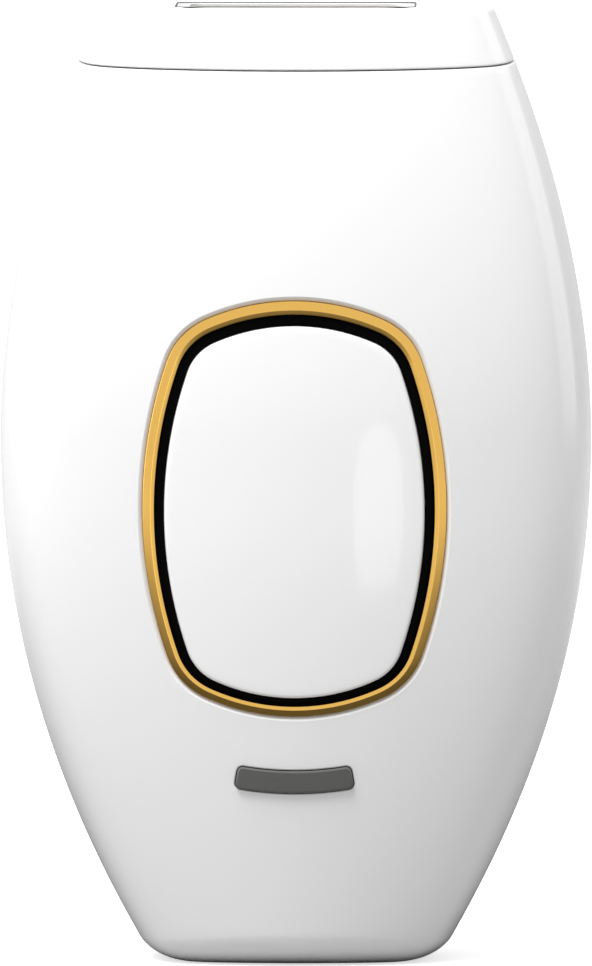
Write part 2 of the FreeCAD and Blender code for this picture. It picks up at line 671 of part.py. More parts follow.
def power_transistor():
    """Flat package standing on the board with its metal tab, as (body, tab)."""
    y0 = MAIN_BOARD_BACK
    z0 = TRANSFORMER_BOTTOM + 1.0
    body = block((5, 15), (y0, y0 + 4.4), (z0, z0 + 9))
    tab = block((5, 15), (y0 + 4.4, y0 + 5.7), (z0, z0 + 12.5))
    return body, tab.cut(holes([(10, z0 + 10.6)], 1.6, (0, FAR)))


def trigger_coil():
    z0 = CAPACITOR_Z + CAPACITOR_RADIUS + 2.0
    coil = rod(3.4, Vector(-9, MAIN_BOARD_BACK + 3.9, z0), Z_AXIS, 9.0)
    flanges = [rod(3.9, Vector(-9, MAIN_BOARD_BACK + 3.9, z), Z_AXIS, 1.0) for z in (z0, z0 + 8)]
    return joined(coil, *flanges)


def board_header():
    """Plug and socket strip that joins the two boards."""
    return block((-7, 7), (CONTROL_BOARD_BACK, MAIN_BOARD_Y), (RING_Z - 2, RING_Z + 2))


def power_inlet():
    """Barrel socket in the base: (housing, centre pin, solder tabs)."""
    nose_bottom = 0.15
    body = block(
        (-JACK_HALF_WIDTH, JACK_HALF_WIDTH),
        (-JACK_HALF_DEPTH, JACK_HALF_DEPTH),
        (FLOOR + 0.05, JACK_TOP),
    )
    nose = rod(JACK_NOSE_RADIUS, Vector(0, 0, nose_bottom), Z_AXIS, FLOOR + 1)
    bore_top = 10.5
    bore = rod(JACK_BORE_RADIUS, Vector(0, 0, 0), Z_AXIS, bore_top)
    shaft = rod(JACK_PIN_RADIUS, Vector(0, 0, 1.2), Z_AXIS, bore_top - 0.2 - 1.2)
    root = rod(JACK_PIN_RADIUS - 0.25, Vector(0, 0, bore_top - 0.2), Z_AXIS, 1.7)
    pin = joined(shaft, root)
    tabs = [
        block((x - 1, x + 1), (MAIN_BOARD_BACK, MAIN_BOARD_BACK + 0.5), (JACK_TOP, JACK_TOP + 8))
        for x in (-2.5, 2.5)
    ]
    return joined(body, nose).cut([bore, pin]), pin, tabs


def fan_place(x, y, z):
    return Vector(x, y, FAN_Z + z)


def fan_frame():
    """Square frame with a round duct, four struts and the motor's seat."""
    half = FAN_SIZE / 2
    frame = block((-half, half), (FAN_Y, FAN_BACK), (FAN_Z - half, FAN_Z + half))
    along_y = [e for e in frame.Edges if abs(e.tangentAt(e.FirstParameter).y) > 0.9]
    frame = frame.makeFillet(2.0, along_y)
    frame = frame.cut(rod(half - 1.1, fan_place(0, FAN_Y, 0), Y_AXIS, FAN_DEPTH))
    struts = [
        block((-0.8, 0.8), (FAN_BACK - 1.6, FAN_BACK), (FAN_Z - half + 0.6, FAN_Z + half - 0.6)),
        block((-half + 0.6, half - 0.6), (FAN_BACK - 1.6, FAN_BACK), (FAN_Z - 0.8, FAN_Z + 0.8)),
    ]
    seat = rod(FAN_HUB_RADIUS + 0.2, fan_place(0, FAN_BACK - 2.0, 0), Y_AXIS, 2.0)
    frame = joined(frame, *struts, seat)
    bearing = rod(SHAFT_RADIUS + 0.05, fan_place(0, FAN_Y, 0), Y_AXIS, FAN_DEPTH - 0.5)
    return frame.cut([bearing, *holes(FAN_SCREWS, SMALL_SCREW_RADIUS + 0.15, (0, FAR))])


def fan_stator():
    start = fan_place(0, FAN_Y + 2.2, 0)
    return tube(4.6, 1.2, start, Y_AXIS, FAN_DEPTH - 2.0 - 2.2)


def fan_rotor():
    """Cup with its shaft, and pitched blades around it."""
    front = FAN_Y + 0.4
    length = FAN_DEPTH - 2.0 - 0.7
    cup = rod(FAN_HUB_RADIUS, fan_place(0, front, 0), Y_AXIS, length)
    cup = cup.cut(rod(5.0, fan_place(0, front + 1.2, 0), Y_AXIS, length))
    shaft = rod(SHAFT_RADIUS, fan_place(0, front, 0), Y_AXIS, FAN_DEPTH - 1.2)
    tip = FAN_SIZE / 2 - 1.8
    sweep = tube(tip, FAN_HUB_RADIUS - 0.6, fan_place(0, front, 0), Y_AXIS, length)
    blades = []
    for i in range(FAN_BLADES):
        blade = block((-0.5, 0.5), (-5.5, 5.5), (FAN_HUB_RADIUS - 0.5, FAN_SIZE))
        blade.rotate(Vector(0, 0, 0), Z_AXIS, 42)
        blade.rotate(Vector(0, 0, 0), Y_AXIS, 360 * i / FAN_BLADES)
        blade.translate(fan_place(0, front + length / 2, 0))
        blades.append(blade.common(sweep))
    return joined(cup, shaft, *blades)


def head_socket():
    """Deck inside the housing's mouth, with the collar and floor that take the lamp head."""
    deck = block((-FAR, FAR), (-FAR, FAR), (DECK_TOP - DECK_THICKNESS, DECK_TOP))
    wall = PLUG_CLEARANCE + SOCKET_WALL
    collar = rounded_block(
        PLUG_HALF_WIDTH + wall, PLUG_HALF_DEPTH + wall, (SOCKET_FLOOR, DECK_TOP),
        PLUG_CORNER + wall,
    )
    mouth = rounded_block(
        PLUG_HALF_WIDTH + PLUG_CLEARANCE, PLUG_HALF_DEPTH + PLUG_CLEARANCE,
        (SOCKET_FLOOR_TOP, DECK_TOP + 1), PLUG_CORNER + PLUG_CLEARANCE,
    )
    pins = [
        rod(1.52, Vector(x, PIN_Y, SOCKET_FLOOR - 1), Z_AXIS, 4)
        for x in (-PIN_SPREAD, 0, PIN_SPREAD)
    ]
    form = deck.fuse(collar).common(body_at(WALL + 0.2))
    return form.cut([mouth, *pins, *air_openings(SOCKET_FLOOR - 1)])


def air_openings(z):
    """Openings in the socket's and the plug's floor that let the fan's air through."""
    return [
        block((side * 10 - 6.0, side * 10 + 6.0), (y - 1.4, y + 1.4), (z, z + 4))
        for side in (-1, 1)
        for y in (-5.2, 5.2)
    ]


def socket_contacts():
    """Sleeves for the head's pins, each with a tail soldered to the main board."""
    contacts = []
    for x in (-PIN_SPREAD, 0, PIN_SPREAD):
        bottom = SOCKET_FLOOR - 5.0
        body = rod(1.5, Vector(x, PIN_Y, bottom), Z_AXIS, SOCKET_FLOOR_TOP - bottom)
        bore = rod(PIN_RADIUS + 0.05, Vector(x, PIN_Y, bottom + 1.4), Z_AXIS, 10)
        tail = block(
            (x - 1, x + 1), (MAIN_BOARD_BACK, MAIN_BOARD_BACK + 0.6), (MAIN_BOARD_TOP - 5, bottom + 1)
        )
        contacts.append(joined(body.cut(bore), tail))
    return contacts


FLANGE_LOW = SEAM_Z + 1.3
FLANGE_HIGH = FLANGE_LOW + 1.5


def head_covers():
    """Front and rear half of the lamp head's cover, with its treatment face."""
    outer = body_at(0)
    top_edge = [e for e in outer.Edges if e.BoundBox.ZMin > BODY_HEIGHT - 0.01]
    outer = outer.makeFillet(HEAD_EDGE_ROUND, top_edge)
    outer = outer.common(block((-FAR, FAR), (-FAR, FAR), (SEAM_Z - 5, FAR)))
    outer = outer.cut(below_seam(-SEAM_GAP / 2))
    inner = body_at(HEAD_WALL).common(
        block((-FAR, FAR), (-FAR, FAR), (0, BODY_HEIGHT - HEAD_WALL))
    )
    pillars = [
        rod(2.1, Vector(x, y, FLANGE_HIGH), Z_AXIS, BODY_HEIGHT - 1 - FLANGE_HIGH)
        for x, y in HEAD_SCREWS
    ]
    cover = joined(outer.cut(inner), *pillars)
    pilots = [
        rod(SMALL_SCREW_RADIUS + 0.03, Vector(x, y, FLANGE_HIGH - 1), Z_AXIS, 3.8)
        for x, y in HEAD_SCREWS
    ]
    frame = rounded_block(
        FRAME_HALF_WIDTH + 0.06, FRAME_HALF_DEPTH + 0.06, (FLANGE_HIGH, BODY_HEIGHT + 1),
        FRAME_CORNER,
    )
    sensor = rod(SENSOR_RADIUS + 0.05, Vector(-SENSOR_OFFSET, 0, SEAM_Z), Z_AXIS, 20)
    cover = cover.cut([frame, sensor, *pilots])
    front = cover.common(block((-FAR, FAR), (-FAR, -PARTING_GAP / 2), (0, FAR)))
    rear = cover.common(block((-FAR, FAR), (PARTING_GAP / 2, FAR), (0, FAR)))
    return front, rear


def head_chassis():
    """Flange inside the covers and the hollow plug that enters the socket."""
    flange = body_at(HEAD_WALL + 0.2)
    flange = flange.common(block((-FAR, FAR), (-FAR, FAR), (FLANGE_LOW, FLANGE_HIGH)))
    plug = rounded_block(
        PLUG_HALF_WIDTH, PLUG_HALF_DEPTH, (PLUG_BOTTOM, FLANGE_LOW), PLUG_CORNER
    )
    hollow = rounded_block(
        PLUG_HALF_WIDTH - PLUG_WALL, PLUG_HALF_DEPTH - PLUG_WALL,
        (PLUG_BOTTOM + 1.6, FLANGE_LOW), PLUG_CORNER - PLUG_WALL,
    )
    opening = block((-16.3, 16.3), (-6.9, 6.9), (FLANGE_LOW - 1, FLANGE_HIGH + 1))
    pins = [
        rod(PIN_RADIUS + 0.02, Vector(x, PIN_Y, PLUG_BOTTOM - 1), Z_AXIS, 4)
        for x in (-PIN_SPREAD, 0, PIN_SPREAD)
    ]
    screws = [
        rod(SMALL_SCREW_RADIUS + 0.12, Vector(x, y, FLANGE_LOW - 1), Z_AXIS, 4)
        for x, y in HEAD_SCREWS
    ]
    drivers = [rod(2.1, Vector(x, y, PLUG_BOTTOM - 1), Z_AXIS, 4) for x, y in HEAD_SCREWS]
    whole = joined(flange, plug).cut([hollow, opening, *pins, *screws, *drivers])
    return whole.cut(air_openings(PLUG_BOTTOM - 1))


def head_pins():
    """Three contact pins with heads that rest on the plug's floor."""
    tip = SOCKET_FLOOR - 3.0
    floor_top = PLUG_BOTTOM + 1.6
    pins = []
    for x in (-PIN_SPREAD, 0, PIN_SPREAD):
        pin = rod(PIN_RADIUS, Vector(x, PIN_Y, tip), Z_AXIS, floor_top - tip)
        head = rod(1.6, Vector(x, PIN_Y, floor_top), Z_AXIS, 0.5)
        pins.append(joined(pin, head))
    return pins


def window_frame():
    frame = rounded_block(
        FRAME_HALF_WIDTH, FRAME_HALF_DEPTH, (FLANGE_HIGH + 0.05, BODY_HEIGHT), FRAME_CORNER
    )
    opening = rounded_block(
        WINDOW_HALF_WIDTH, WINDOW_HALF_DEPTH, (FLANGE_HIGH - 1, BODY_HEIGHT + 1), 1.5
    )
    pocket = rounded_block(
        WINDOW_HALF_WIDTH + 0.85, WINDOW_HALF_DEPTH + 0.85,
        (FLANGE_HIGH - 1, BODY_HEIGHT - GLASS_RECESS), 1.5,
    )
    return frame.cut([opening, pocket])


def filter_glass():
    top = BODY_HEIGHT - GLASS_RECESS - 0.03
    return rounded_block(
        WINDOW_HALF_WIDTH + 0.8, WINDOW_HALF_DEPTH + 0.8, (top - GLASS_THICKNESS, top), 1.5
    )


REFLECTOR_TOP = BODY_HEIGHT - GLASS_RECESS - 0.06 - GLASS_THICKNESS
REFLECTOR_SHEET = 0.5
TROUGH_RADIUS = 5.2


def trough(grow, half_length):
    """Solid with the reflector's U section: a half round below, widening straight sides above."""
    radius = TROUGH_RADIUS + grow
    rim = WINDOW_HALF_DEPTH - 0.4 + grow
    x0 = -half_length
    low_left = Vector(x0, -radius, LAMP_Z)
    low_right = Vector(x0, radius, LAMP_Z)
    edges = [
        Part.Arc(low_left, Vector(x0, 0, LAMP_Z - radius), low_right).toShape(),
        Part.makeLine(low_right, Vector(x0, rim, REFLECTOR_TOP)),
        Part.makeLine(Vector(x0, rim, REFLECTOR_TOP), Vector(x0, -rim, REFLECTOR_TOP)),
        Part.makeLine(Vector(x0, -rim, REFLECTOR_TOP), low_left),
    ]
    return Part.Face(Part.Wire(edges)).extrude(Vector(2 * half_length, 0, 0))


def reflector():
    """Polished trough behind the window, closed at its ends around the lamp."""
    sheet = trough(REFLECTOR_SHEET, WINDOW_HALF_WIDTH + 0.4)
    rim_block = rounded_block(
        WINDOW_HALF_WIDTH + 0.7, WINDOW_HALF_DEPTH + 0.7,
        (REFLECTOR_TOP - REFLECTOR_SHEET, REFLECTOR_TOP), 1.5,
    )
    lamp = rod(LAMP_RADIUS + 0.3, Vector(-FAR / 2, 0, LAMP_Z), X_AXIS, FAR)
    return joined(sheet, rim_block).cut([trough(0, WINDOW_HALF_WIDTH - 0.1), lamp])


LAMP_HALF_LENGTH = 19.0


def flash_lamp():
    """Sealed quartz tube; its electrodes come out of both ends."""
    start = Vector(-LAMP_HALF_LENGTH, 0, LAMP_Z)
    glass = rod(LAMP_RADIUS, start, X_AXIS, 2 * LAMP_HALF_LENGTH)
    hollow = rod(1.7, start + X_AXIS * 3, X_AXIS, 2 * LAMP_HALF_LENGTH - 6)
    leads = rod(1.0, start, X_AXIS, 2 * LAMP_HALF_LENGTH)
    electrodes = []
    for side in (-1, 1):
        electrode = rod(1.0, Vector(side * 13.0, 0, LAMP_Z), X_AXIS * side, 8.0)
        cap = rod(LAMP_RADIUS, Vector(side * LAMP_HALF_LENGTH, 0, LAMP_Z), X_AXIS * side, 1.2)
        electrodes.append(joined(electrode, cap))
    return glass.cut([hollow, leads]), electrodes


def lamp_holders():
    """White ceramic blocks that carry the lamp's ends across the plug."""
    half_y = PLUG_HALF_DEPTH - PLUG_WALL
    return [
        block((side * 18.5 - 1.9, side * 18.5 + 1.9), (-half_y, half_y), (LAMP_Z - 5.3, LAMP_Z + 2.8))
        .cut(rod(LAMP_RADIUS + 0.05, Vector(-FAR / 2, 0, LAMP_Z), X_AXIS, FAR))
        for side in (-1, 1)
    ]


def heat_sink():
    """Aluminium block under the reflector, cradling it, with fins cut from below."""
    low, high = PLUG_BOTTOM + 2.2, LAMP_Z - 2.6
    sink = block((-15.4, 15.4), (-6.6, 6.6), (low, high))
    fins = [
        block((2.8 * i - 0.8, 2.8 * i + 0.8), (-7, 7), (low - 1, LAMP_Z - TROUGH_RADIUS - 2.4))
        for i in range(-5, 6)
    ]
    seat = trough(REFLECTOR_SHEET + 0.03, 20)
    return sink.cut([seat, *fins])


def skin_sensor():
    """Small dark lens beside the window, with a collar behind the treatment face."""
    spot = Vector(-SENSOR_OFFSET, 0, BODY_HEIGHT - HEAD_WALL - 0.6)
    lens = rod(SENSOR_RADIUS, spot, Z_AXIS, HEAD_WALL + 0.5)
    board = block(
        (-SENSOR_OFFSET - 1.4, -SENSOR_OFFSET + 1.4), (-1.8, 1.8),
        (FLANGE_HIGH, BODY_HEIGHT - HEAD_WALL - 0.6),
    )
    return joined(lens, board)


def build():
    os.makedirs("parts", exist_ok=True)
    housing = hollow_housing()
    save("front_shell", front_shell(housing))
    save("rear_shell", rear_shell(housing))
    screws, plugs = shell_fasteners()
    save("shell_screws", *screws)
    save("screw_plugs", *plugs)
    save("gold_ring", gold_ring())
    save("black_ring", black_ring())
    save("button_retainer", button_retainer())
    save("retainer_screws", *[
        screw(3.4, SMALL_SCREW_RADIUS, 1.9, 1.2, Vector(x, RETAINER_BACK, z), -Y_AXIS)
        for x, z in RETAINER_SCREWS
    ])
    save("flash_button_cap", flash_button())
    save("button_return_sleeves", *return_sleeves())
    save("level_button_cap", level_button())
    bodies, plungers = switches()
    save("flash_switch_body", bodies[0])
    save("level_switch_body", bodies[1])
    save("flash_switch_plunger", plungers[0])
    save("level_switch_plunger", plungers[1])
    leds, pipes = light_parts()
    save("indicator_leds", *leds)
    save("light_pipes", *pipes)
    save("control_board", control_board())
    save("control_board_screws", *[
        screw(4.6, SMALL_SCREW_RADIUS, 1.9, 1.2, Vector(x, CONTROL_BOARD_BACK, z), -Y_AXIS)
        for x, z in CONTROL_SCREWS
    ])
    save("board_header", board_header())
    save("main_board", main_board())
    save("main_board_screws", *[
        screw(6.4, BOARD_SCREW_RADIUS, 2.2, 1.3, Vector(x, MAIN_BOARD_Y, z), Y_AXIS)
        for x, z in MAIN_SCREWS
    ])
    save("flash_capacitor", flash_capacitor())
    core, winding = transformer()
    save("transformer_core", core)
    save("transformer_winding", winding)
    body, tab = power_transistor()
    save("power_transistor", body)
    save("transistor_tab", tab)
    save("trigger_coil", trigger_coil())
    inlet, pin, tabs = power_inlet()
    save("power_inlet", inlet)
    save("inlet_pin", pin)
    save("inlet_tabs", *tabs)
    save("fan_frame", fan_frame())
    save("fan_stator", fan_stator())
    save("fan_rotor", fan_rotor())
    save("fan_screws", *[
        screw(FAN_DEPTH + 1.6, SMALL_SCREW_RADIUS, 1.9, 1.2, Vector(x, FAN_Y, z), Y_AXIS)
        for x, z in FAN_SCREWS
    ])
    save("head_socket", head_socket())
    save("socket_contacts", *socket_contacts())
    front, rear = head_covers()
    save("head_cover_front", front)
    save("head_cover_rear", rear)
    save("head_chassis", head_chassis())
    save("head_screws", *[
        screw(4.0, SMALL_SCREW_RADIUS, 1.9, 1.1, Vector(x, y, FLANGE_LOW), Z_AXIS)
        for x, y in HEAD_SCREWS
    ])
    save("head_pins", *head_pins())
    save("window_frame", window_frame())
    save("filter_glass", filter_glass())
    save("skin_sensor", skin_sensor())
    save("reflector", reflector())
    glass, electrodes = flash_lamp()
    save("flash_lamp", glass)
    save("lamp_electrodes", *electrodes)
    save("lamp_holders", *lamp_holders())
    save("heat_sink", heat_sink())
    print(f"{len(_written)} nodes")


build()
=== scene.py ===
# %% [markdown]
# # A light-pulse hair remover, finished in Blender
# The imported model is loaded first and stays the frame. It knows every size, so each new piece
# is worked out from it. The pieces that catch the eye (the two white shells, the lamp head's
# covers, the gold and black rings, the two buttons) are remade here with soft edges and
# continuous highlights, and the inner pieces keep their shape and get a finish.

# %% Load the frame
import json
import math
import bmesh
import bpy
import numpy as np
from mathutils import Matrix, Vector
from mathutils.bvhtree import BVHTree
from mathutils.interpolate import poly_3d_calc


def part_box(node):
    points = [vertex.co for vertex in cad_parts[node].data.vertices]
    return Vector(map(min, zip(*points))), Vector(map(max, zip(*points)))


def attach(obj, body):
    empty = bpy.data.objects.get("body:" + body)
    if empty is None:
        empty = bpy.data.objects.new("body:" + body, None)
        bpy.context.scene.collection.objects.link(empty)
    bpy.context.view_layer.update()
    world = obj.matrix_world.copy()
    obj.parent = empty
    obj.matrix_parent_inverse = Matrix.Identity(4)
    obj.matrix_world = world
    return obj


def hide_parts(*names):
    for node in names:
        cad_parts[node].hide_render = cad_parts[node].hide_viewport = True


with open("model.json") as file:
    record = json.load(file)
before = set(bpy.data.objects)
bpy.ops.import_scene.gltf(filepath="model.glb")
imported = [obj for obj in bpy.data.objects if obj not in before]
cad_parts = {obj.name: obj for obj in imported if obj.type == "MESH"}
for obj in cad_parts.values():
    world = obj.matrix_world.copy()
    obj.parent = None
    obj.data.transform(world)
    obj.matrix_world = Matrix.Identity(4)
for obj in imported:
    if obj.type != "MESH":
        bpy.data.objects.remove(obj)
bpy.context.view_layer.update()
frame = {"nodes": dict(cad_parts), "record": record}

# %% [markdown]
# ## The sizes of the barrel
# The housing follows one rule. Its half width and both depths swell from the base to the
# widest section and narrow again towards the window. Each horizontal section is a gentle crown
# that meets steep sides at a shoulder. The shoulder is soft everywhere except low on the front.
# All lengths are in millimetres and are turned into metres in one place.

# %% Name the sizes
BARREL = {
    "Height": 140.5,
    "Widest At": 0.55 * 140.5,
    "Half Width": 43.5,
    "Front Depth": 22.0,
    "Rear Depth": 21.5,
    "Top Half Width": 28.9,
    "Base Half Width": 21.1,
    "Top Depth": 11.0,
    "Base Depth": 14.5,
    "Upper Power": 1.88,
    "Lower Power": 2.08,
    "Crown Drop": 0.35,
    "Side Reach": 1.45,
    "Soft Shoulder": 3.4,
    "Sharp Shoulder": 7.5,
}
HEIGHT = BARREL["Height"]
SEAM_HEIGHT = 132.6
SEAM_TILT = math.tan(math.radians(5.2))
RING_HEIGHT = BARREL["Widest At"] - 9.5
BAR_TOP = RING_HEIGHT - 30.4 - 8.1
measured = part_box("front_shell")[1].x * 1000
print("half width by rule", BARREL["Half Width"], "and in the frame", round(measured, 2))

# %% [markdown]
# ## Helpers for node trees
# A rule written as nodes needs many small sums. These helpers let the sums read like ordinary
# arithmetic: a number or a socket goes in, a socket comes out.

# %% Arithmetic with nodes
class Sums:
    """Adds Math nodes to a tree and hands back their output sockets."""

    def __init__(self, tree):
        self.tree = tree

    def node(self, kind, **settings):
        made = self.tree.nodes.new(kind)
        for key, value in settings.items():
            setattr(made, key, value)
        return made

    def feed(self, socket, value):
        if isinstance(value, bpy.types.NodeSocket):
            self.tree.links.new(value, socket)
        else:
            socket.default_value = value

    def do(self, operation, *values):
        made = self.node("ShaderNodeMath", operation=operation)
        for socket, value in zip(made.inputs, values):
            self.feed(socket, value)
        return made.outputs[0]

    def add(self, a, b):
        return self.do("ADD", a, b)

    def sub(self, a, b):
        return self.do("SUBTRACT", a, b)

    def mul(self, a, b):
        return self.do("MULTIPLY", a, b)

    def div(self, a, b):
        return self.do("DIVIDE", a, b)

    def power(self, a, b):
        return self.do("POWER", a, b)

    def mix(self, share, low, high):
        return self.add(low, self.mul(share, self.sub(high, low)))

    def vector(self, x, y, z):
        made = self.node("ShaderNodeCombineXYZ")
        for socket, value in zip(made.inputs, (x, y, z)):
            self.feed(socket, value)
        return made.outputs[0]

    def split(self, vector):
        made = self.node("ShaderNodeSeparateXYZ")
        self.feed(made.inputs[0], vector)
        return made.outputs

    def group(self, tree, **values):
        made = self.node("GeometryNodeGroup")
        made.node_tree = tree
        for name, value in values.items():
            self.feed(made.inputs[name.replace("_", " ")], value)
        return made.outputs


def new_tree(name, inputs, outputs, sizes=()):
    """A geometry tree with named inputs; sizes of the barrel can be added with their values."""
    tree = bpy.data.node_groups.new(name, "GeometryNodeTree")
    for label, kind in inputs:
        tree.interface.new_socket(label, in_out="INPUT", socket_type="NodeSocket" + kind)
    for label in sizes:
        socket = tree.interface.new_socket(label, in_out="INPUT", socket_type="NodeSocketFloat")
        socket.default_value = BARREL[label]
    for label, kind in outputs:
        tree.interface.new_socket(label, in_out="OUTPUT", socket_type="NodeSocket" + kind)
    start = tree.nodes.new("NodeGroupInput")
    end = tree.nodes.new("NodeGroupOutput")
    return tree, Sums(tree), start.outputs, end.inputs


# %% [markdown]
# ## The barrel's rule as nodes
# The first group gives half width or depth at a height. The second gives the point on a
# section for a turn around it: zero is the right-hand edge, a quarter turn is the middle of the
# front. A third gives the front surface over any point seen from the front, so that rings and
# buttons can lie on the crown.

# %% Taper group
def build_taper():
    """Half width or depth at a height, from its widest, top and base values."""
    plain = [("Z", "Float"), ("Widest", "Float"), ("Top", "Float"), ("Base", "Float")]
    sizes = ("Height", "Widest At", "Upper Power", "Lower Power")
    tree, s, given, result = new_tree("Barrel Taper", plain, [("Value", "Float")], sizes)
    over = s.sub(given["Z"], given["Widest At"])
    above = s.do("MAXIMUM", s.div(over, s.sub(given["Height"], given["Widest At"])), 0.0)
    below = s.do("MAXIMUM", s.div(s.mul(over, -1.0), given["Widest At"]), 0.0)
    loss_up = s.mul(s.sub(given["Widest"], given["Top"]), s.power(above, given["Upper Power"]))
    loss_down = s.mul(s.sub(given["Widest"], given["Base"]), s.power(below, given["Lower Power"]))
    s.feed(result["Value"], s.sub(given["Widest"], s.add(loss_up, loss_down)))
    return tree


TAPER = build_taper()
print("nodes in the taper", len(TAPER.nodes))


# %% Section group
def taper_of(s, given, widest, kind):
    """The taper at the given height, from a widest size to the top and base sizes of its kind."""
    return s.group(
        TAPER, Z=given["Z"], Widest=given[widest], Top=given["Top " + kind],
        Base=given["Base " + kind],
    )[0]


def build_section():
    """Point of the barrel for a turn, a height and an inset from the surface."""
    plain = [("Turn", "Float"), ("Z", "Float"), ("Inset", "Float")]
    ends = [("X", "Float"), ("Y", "Float")]
    tree, s, given, result = new_tree("Barrel Section", plain, ends, BARREL)
    width = s.sub(taper_of(s, given, "Half Width", "Half Width"), given["Inset"])
    front = taper_of(s, given, "Front Depth", "Depth")
    rear = taper_of(s, given, "Rear Depth", "Depth")
    cos, sin = s.do("COSINE", given["Turn"]), s.do("SINE", given["Turn"])
    is_rear = s.do("LESS_THAN", sin, 0.0)
    depth = s.sub(s.mix(is_rear, front, rear), given["Inset"])
    low = s.do("MAXIMUM", s.sub(1.0, s.div(given["Z"], given["Widest At"])), 0.0)
    low = s.mul(low, s.sub(1.0, is_rear))
    sharp = s.mix(low, given["Soft Shoulder"], given["Sharp Shoulder"])
    fall = s.sub(1.0, s.mul(given["Crown Drop"], s.mul(cos, cos)))
    crown = s.mul(depth, fall)
    side = s.mul(s.mul(given["Side Reach"], depth), s.do("ABSOLUTE", sin))
    total = s.add(s.power(crown, sharp), s.power(side, sharp))
    blend = s.power(total, s.div(1.0, sharp))
    reach = given["Side Reach"]
    at_crown = s.div(reach, s.power(s.add(1.0, s.power(reach, sharp)), s.div(1.0, sharp)))
    y = s.div(s.div(s.mul(crown, side), s.do("MAXIMUM", blend, 1e-6)), at_crown)
    s.feed(result["X"], s.mul(width, cos))
    s.feed(result["Y"], s.mul(y, s.sub(s.mul(is_rear, 2.0), 1.0)))
    return tree


SECTION = build_section()
print("nodes in the section", len(SECTION.nodes))


# %% Crown group
def build_crown():
    """Y of the front surface over a point (X, Z) seen from the front, at a depth below it."""
    plain = [("X", "Float"), ("Z", "Float"), ("Inset", "Float")]
    sizes = ("Half Width", "Top Half Width", "Base Half Width")
    tree, s, given, result = new_tree("Barrel Crown", plain, [("Y", "Float")], sizes)
    width = taper_of(s, given, "Half Width", "Half Width")
    share = s.div(given["X"], s.sub(width, given["Inset"]))
    turn = s.do("ARCCOSINE", s.do("MINIMUM", s.do("MAXIMUM", share, -0.999), 0.999))
    at = s.group(SECTION, Turn=turn, Z=given["Z"], Inset=given["Inset"])
    s.feed(result["Y"], at["Y"])
    return tree


CROWN = build_crown()

# %% [markdown]
# ## Two trees that make surfaces
# A grid is the raw material of both. One direction of the grid runs around the piece, the
# other runs along a profile, which is a short line of points drawn one by one. Each row of the grid
# reads its own point of that line by number, with Sample Index. The first tree wraps the grid
# around the barrel and makes the shells and the head covers. The second wraps it along a closed
# path on the front and makes rings, buttons and the cutters for their openings.

# %% Run a tree
def final_mesh(piece):
    """The mesh of an object after its modifiers, as a plain mesh. The object is removed."""
    bpy.context.view_layer.update()
    graph = bpy.context.evaluated_depsgraph_get()
    mesh = bpy.data.meshes.new_from_object(piece.evaluated_get(graph))
    bpy.data.objects.remove(piece)
    return mesh


def linked(name, mesh):
    """A mesh as an object in the scene, at the origin."""
    made = bpy.data.objects.new(name, mesh)
    bpy.context.scene.collection.objects.link(made)
    return made


def mesh_from_tree(name, tree, values):
    """Runs a tree on an empty mesh and returns the result as a plain mesh."""
    seed = linked(name + "_tree", bpy.data.meshes.new(name + "_seed"))
    modifier = seed.modifiers.new("shape", "NODES")
    modifier.node_group = tree
    for item in tree.interface.items_tree:
        if item.item_type == "SOCKET" and item.in_out == "INPUT" and item.name in values:
            modifier[item.identifier] = values[item.name]
    mesh = final_mesh(seed)
    mesh.name = name
    return mesh


# %% Barrel skin tree
def line_point(s, line, index):
    """The place of one point of a line object, by its number."""
    info = s.node("GeometryNodeObjectInfo", transform_space="ORIGINAL")
    s.feed(info.inputs["Object"], line)
    pick = s.node("GeometryNodeSampleIndex", data_type="FLOAT_VECTOR", domain="POINT")
    s.tree.links.new(info.outputs["Geometry"], pick.inputs["Geometry"])
    s.feed(pick.inputs["Value"], s.node("GeometryNodeInputPosition").outputs[0])
    s.feed(pick.inputs["Index"], index)
    return pick.outputs[0]


def numbered_grid(s, columns, rows):
    """A grid with its column and row numbers, ready to be put in place."""
    grid = s.node("GeometryNodeMeshGrid")
    s.feed(grid.inputs["Vertices X"], columns)
    s.feed(grid.inputs["Vertices Y"], rows)
    index = s.node("GeometryNodeInputIndex").outputs[0]
    column = s.do("FLOOR", s.div(s.add(index, 0.5), rows))
    row = s.sub(index, s.mul(column, rows))
    return grid.outputs["Mesh"], column, row


def placed(s, mesh, x, y, z, material, result):
    """Puts the grid's points in place, turns millimetres into metres and ends the tree."""
    move = s.node("GeometryNodeSetPosition")
    s.feed(move.inputs["Geometry"], mesh)
    s.feed(move.inputs["Position"], s.vector(s.mul(x, 0.001), s.mul(y, 0.001), s.mul(z, 0.001)))
    real = s.node("GeometryNodeRealizeInstances")
    s.feed(real.inputs[0], move.outputs[0])
    painted = s.node("GeometryNodeSetMaterial")
    s.feed(painted.inputs["Geometry"], real.outputs[0])
    s.feed(painted.inputs["Material"], material)
    s.feed(result["Geometry"], painted.outputs[0])


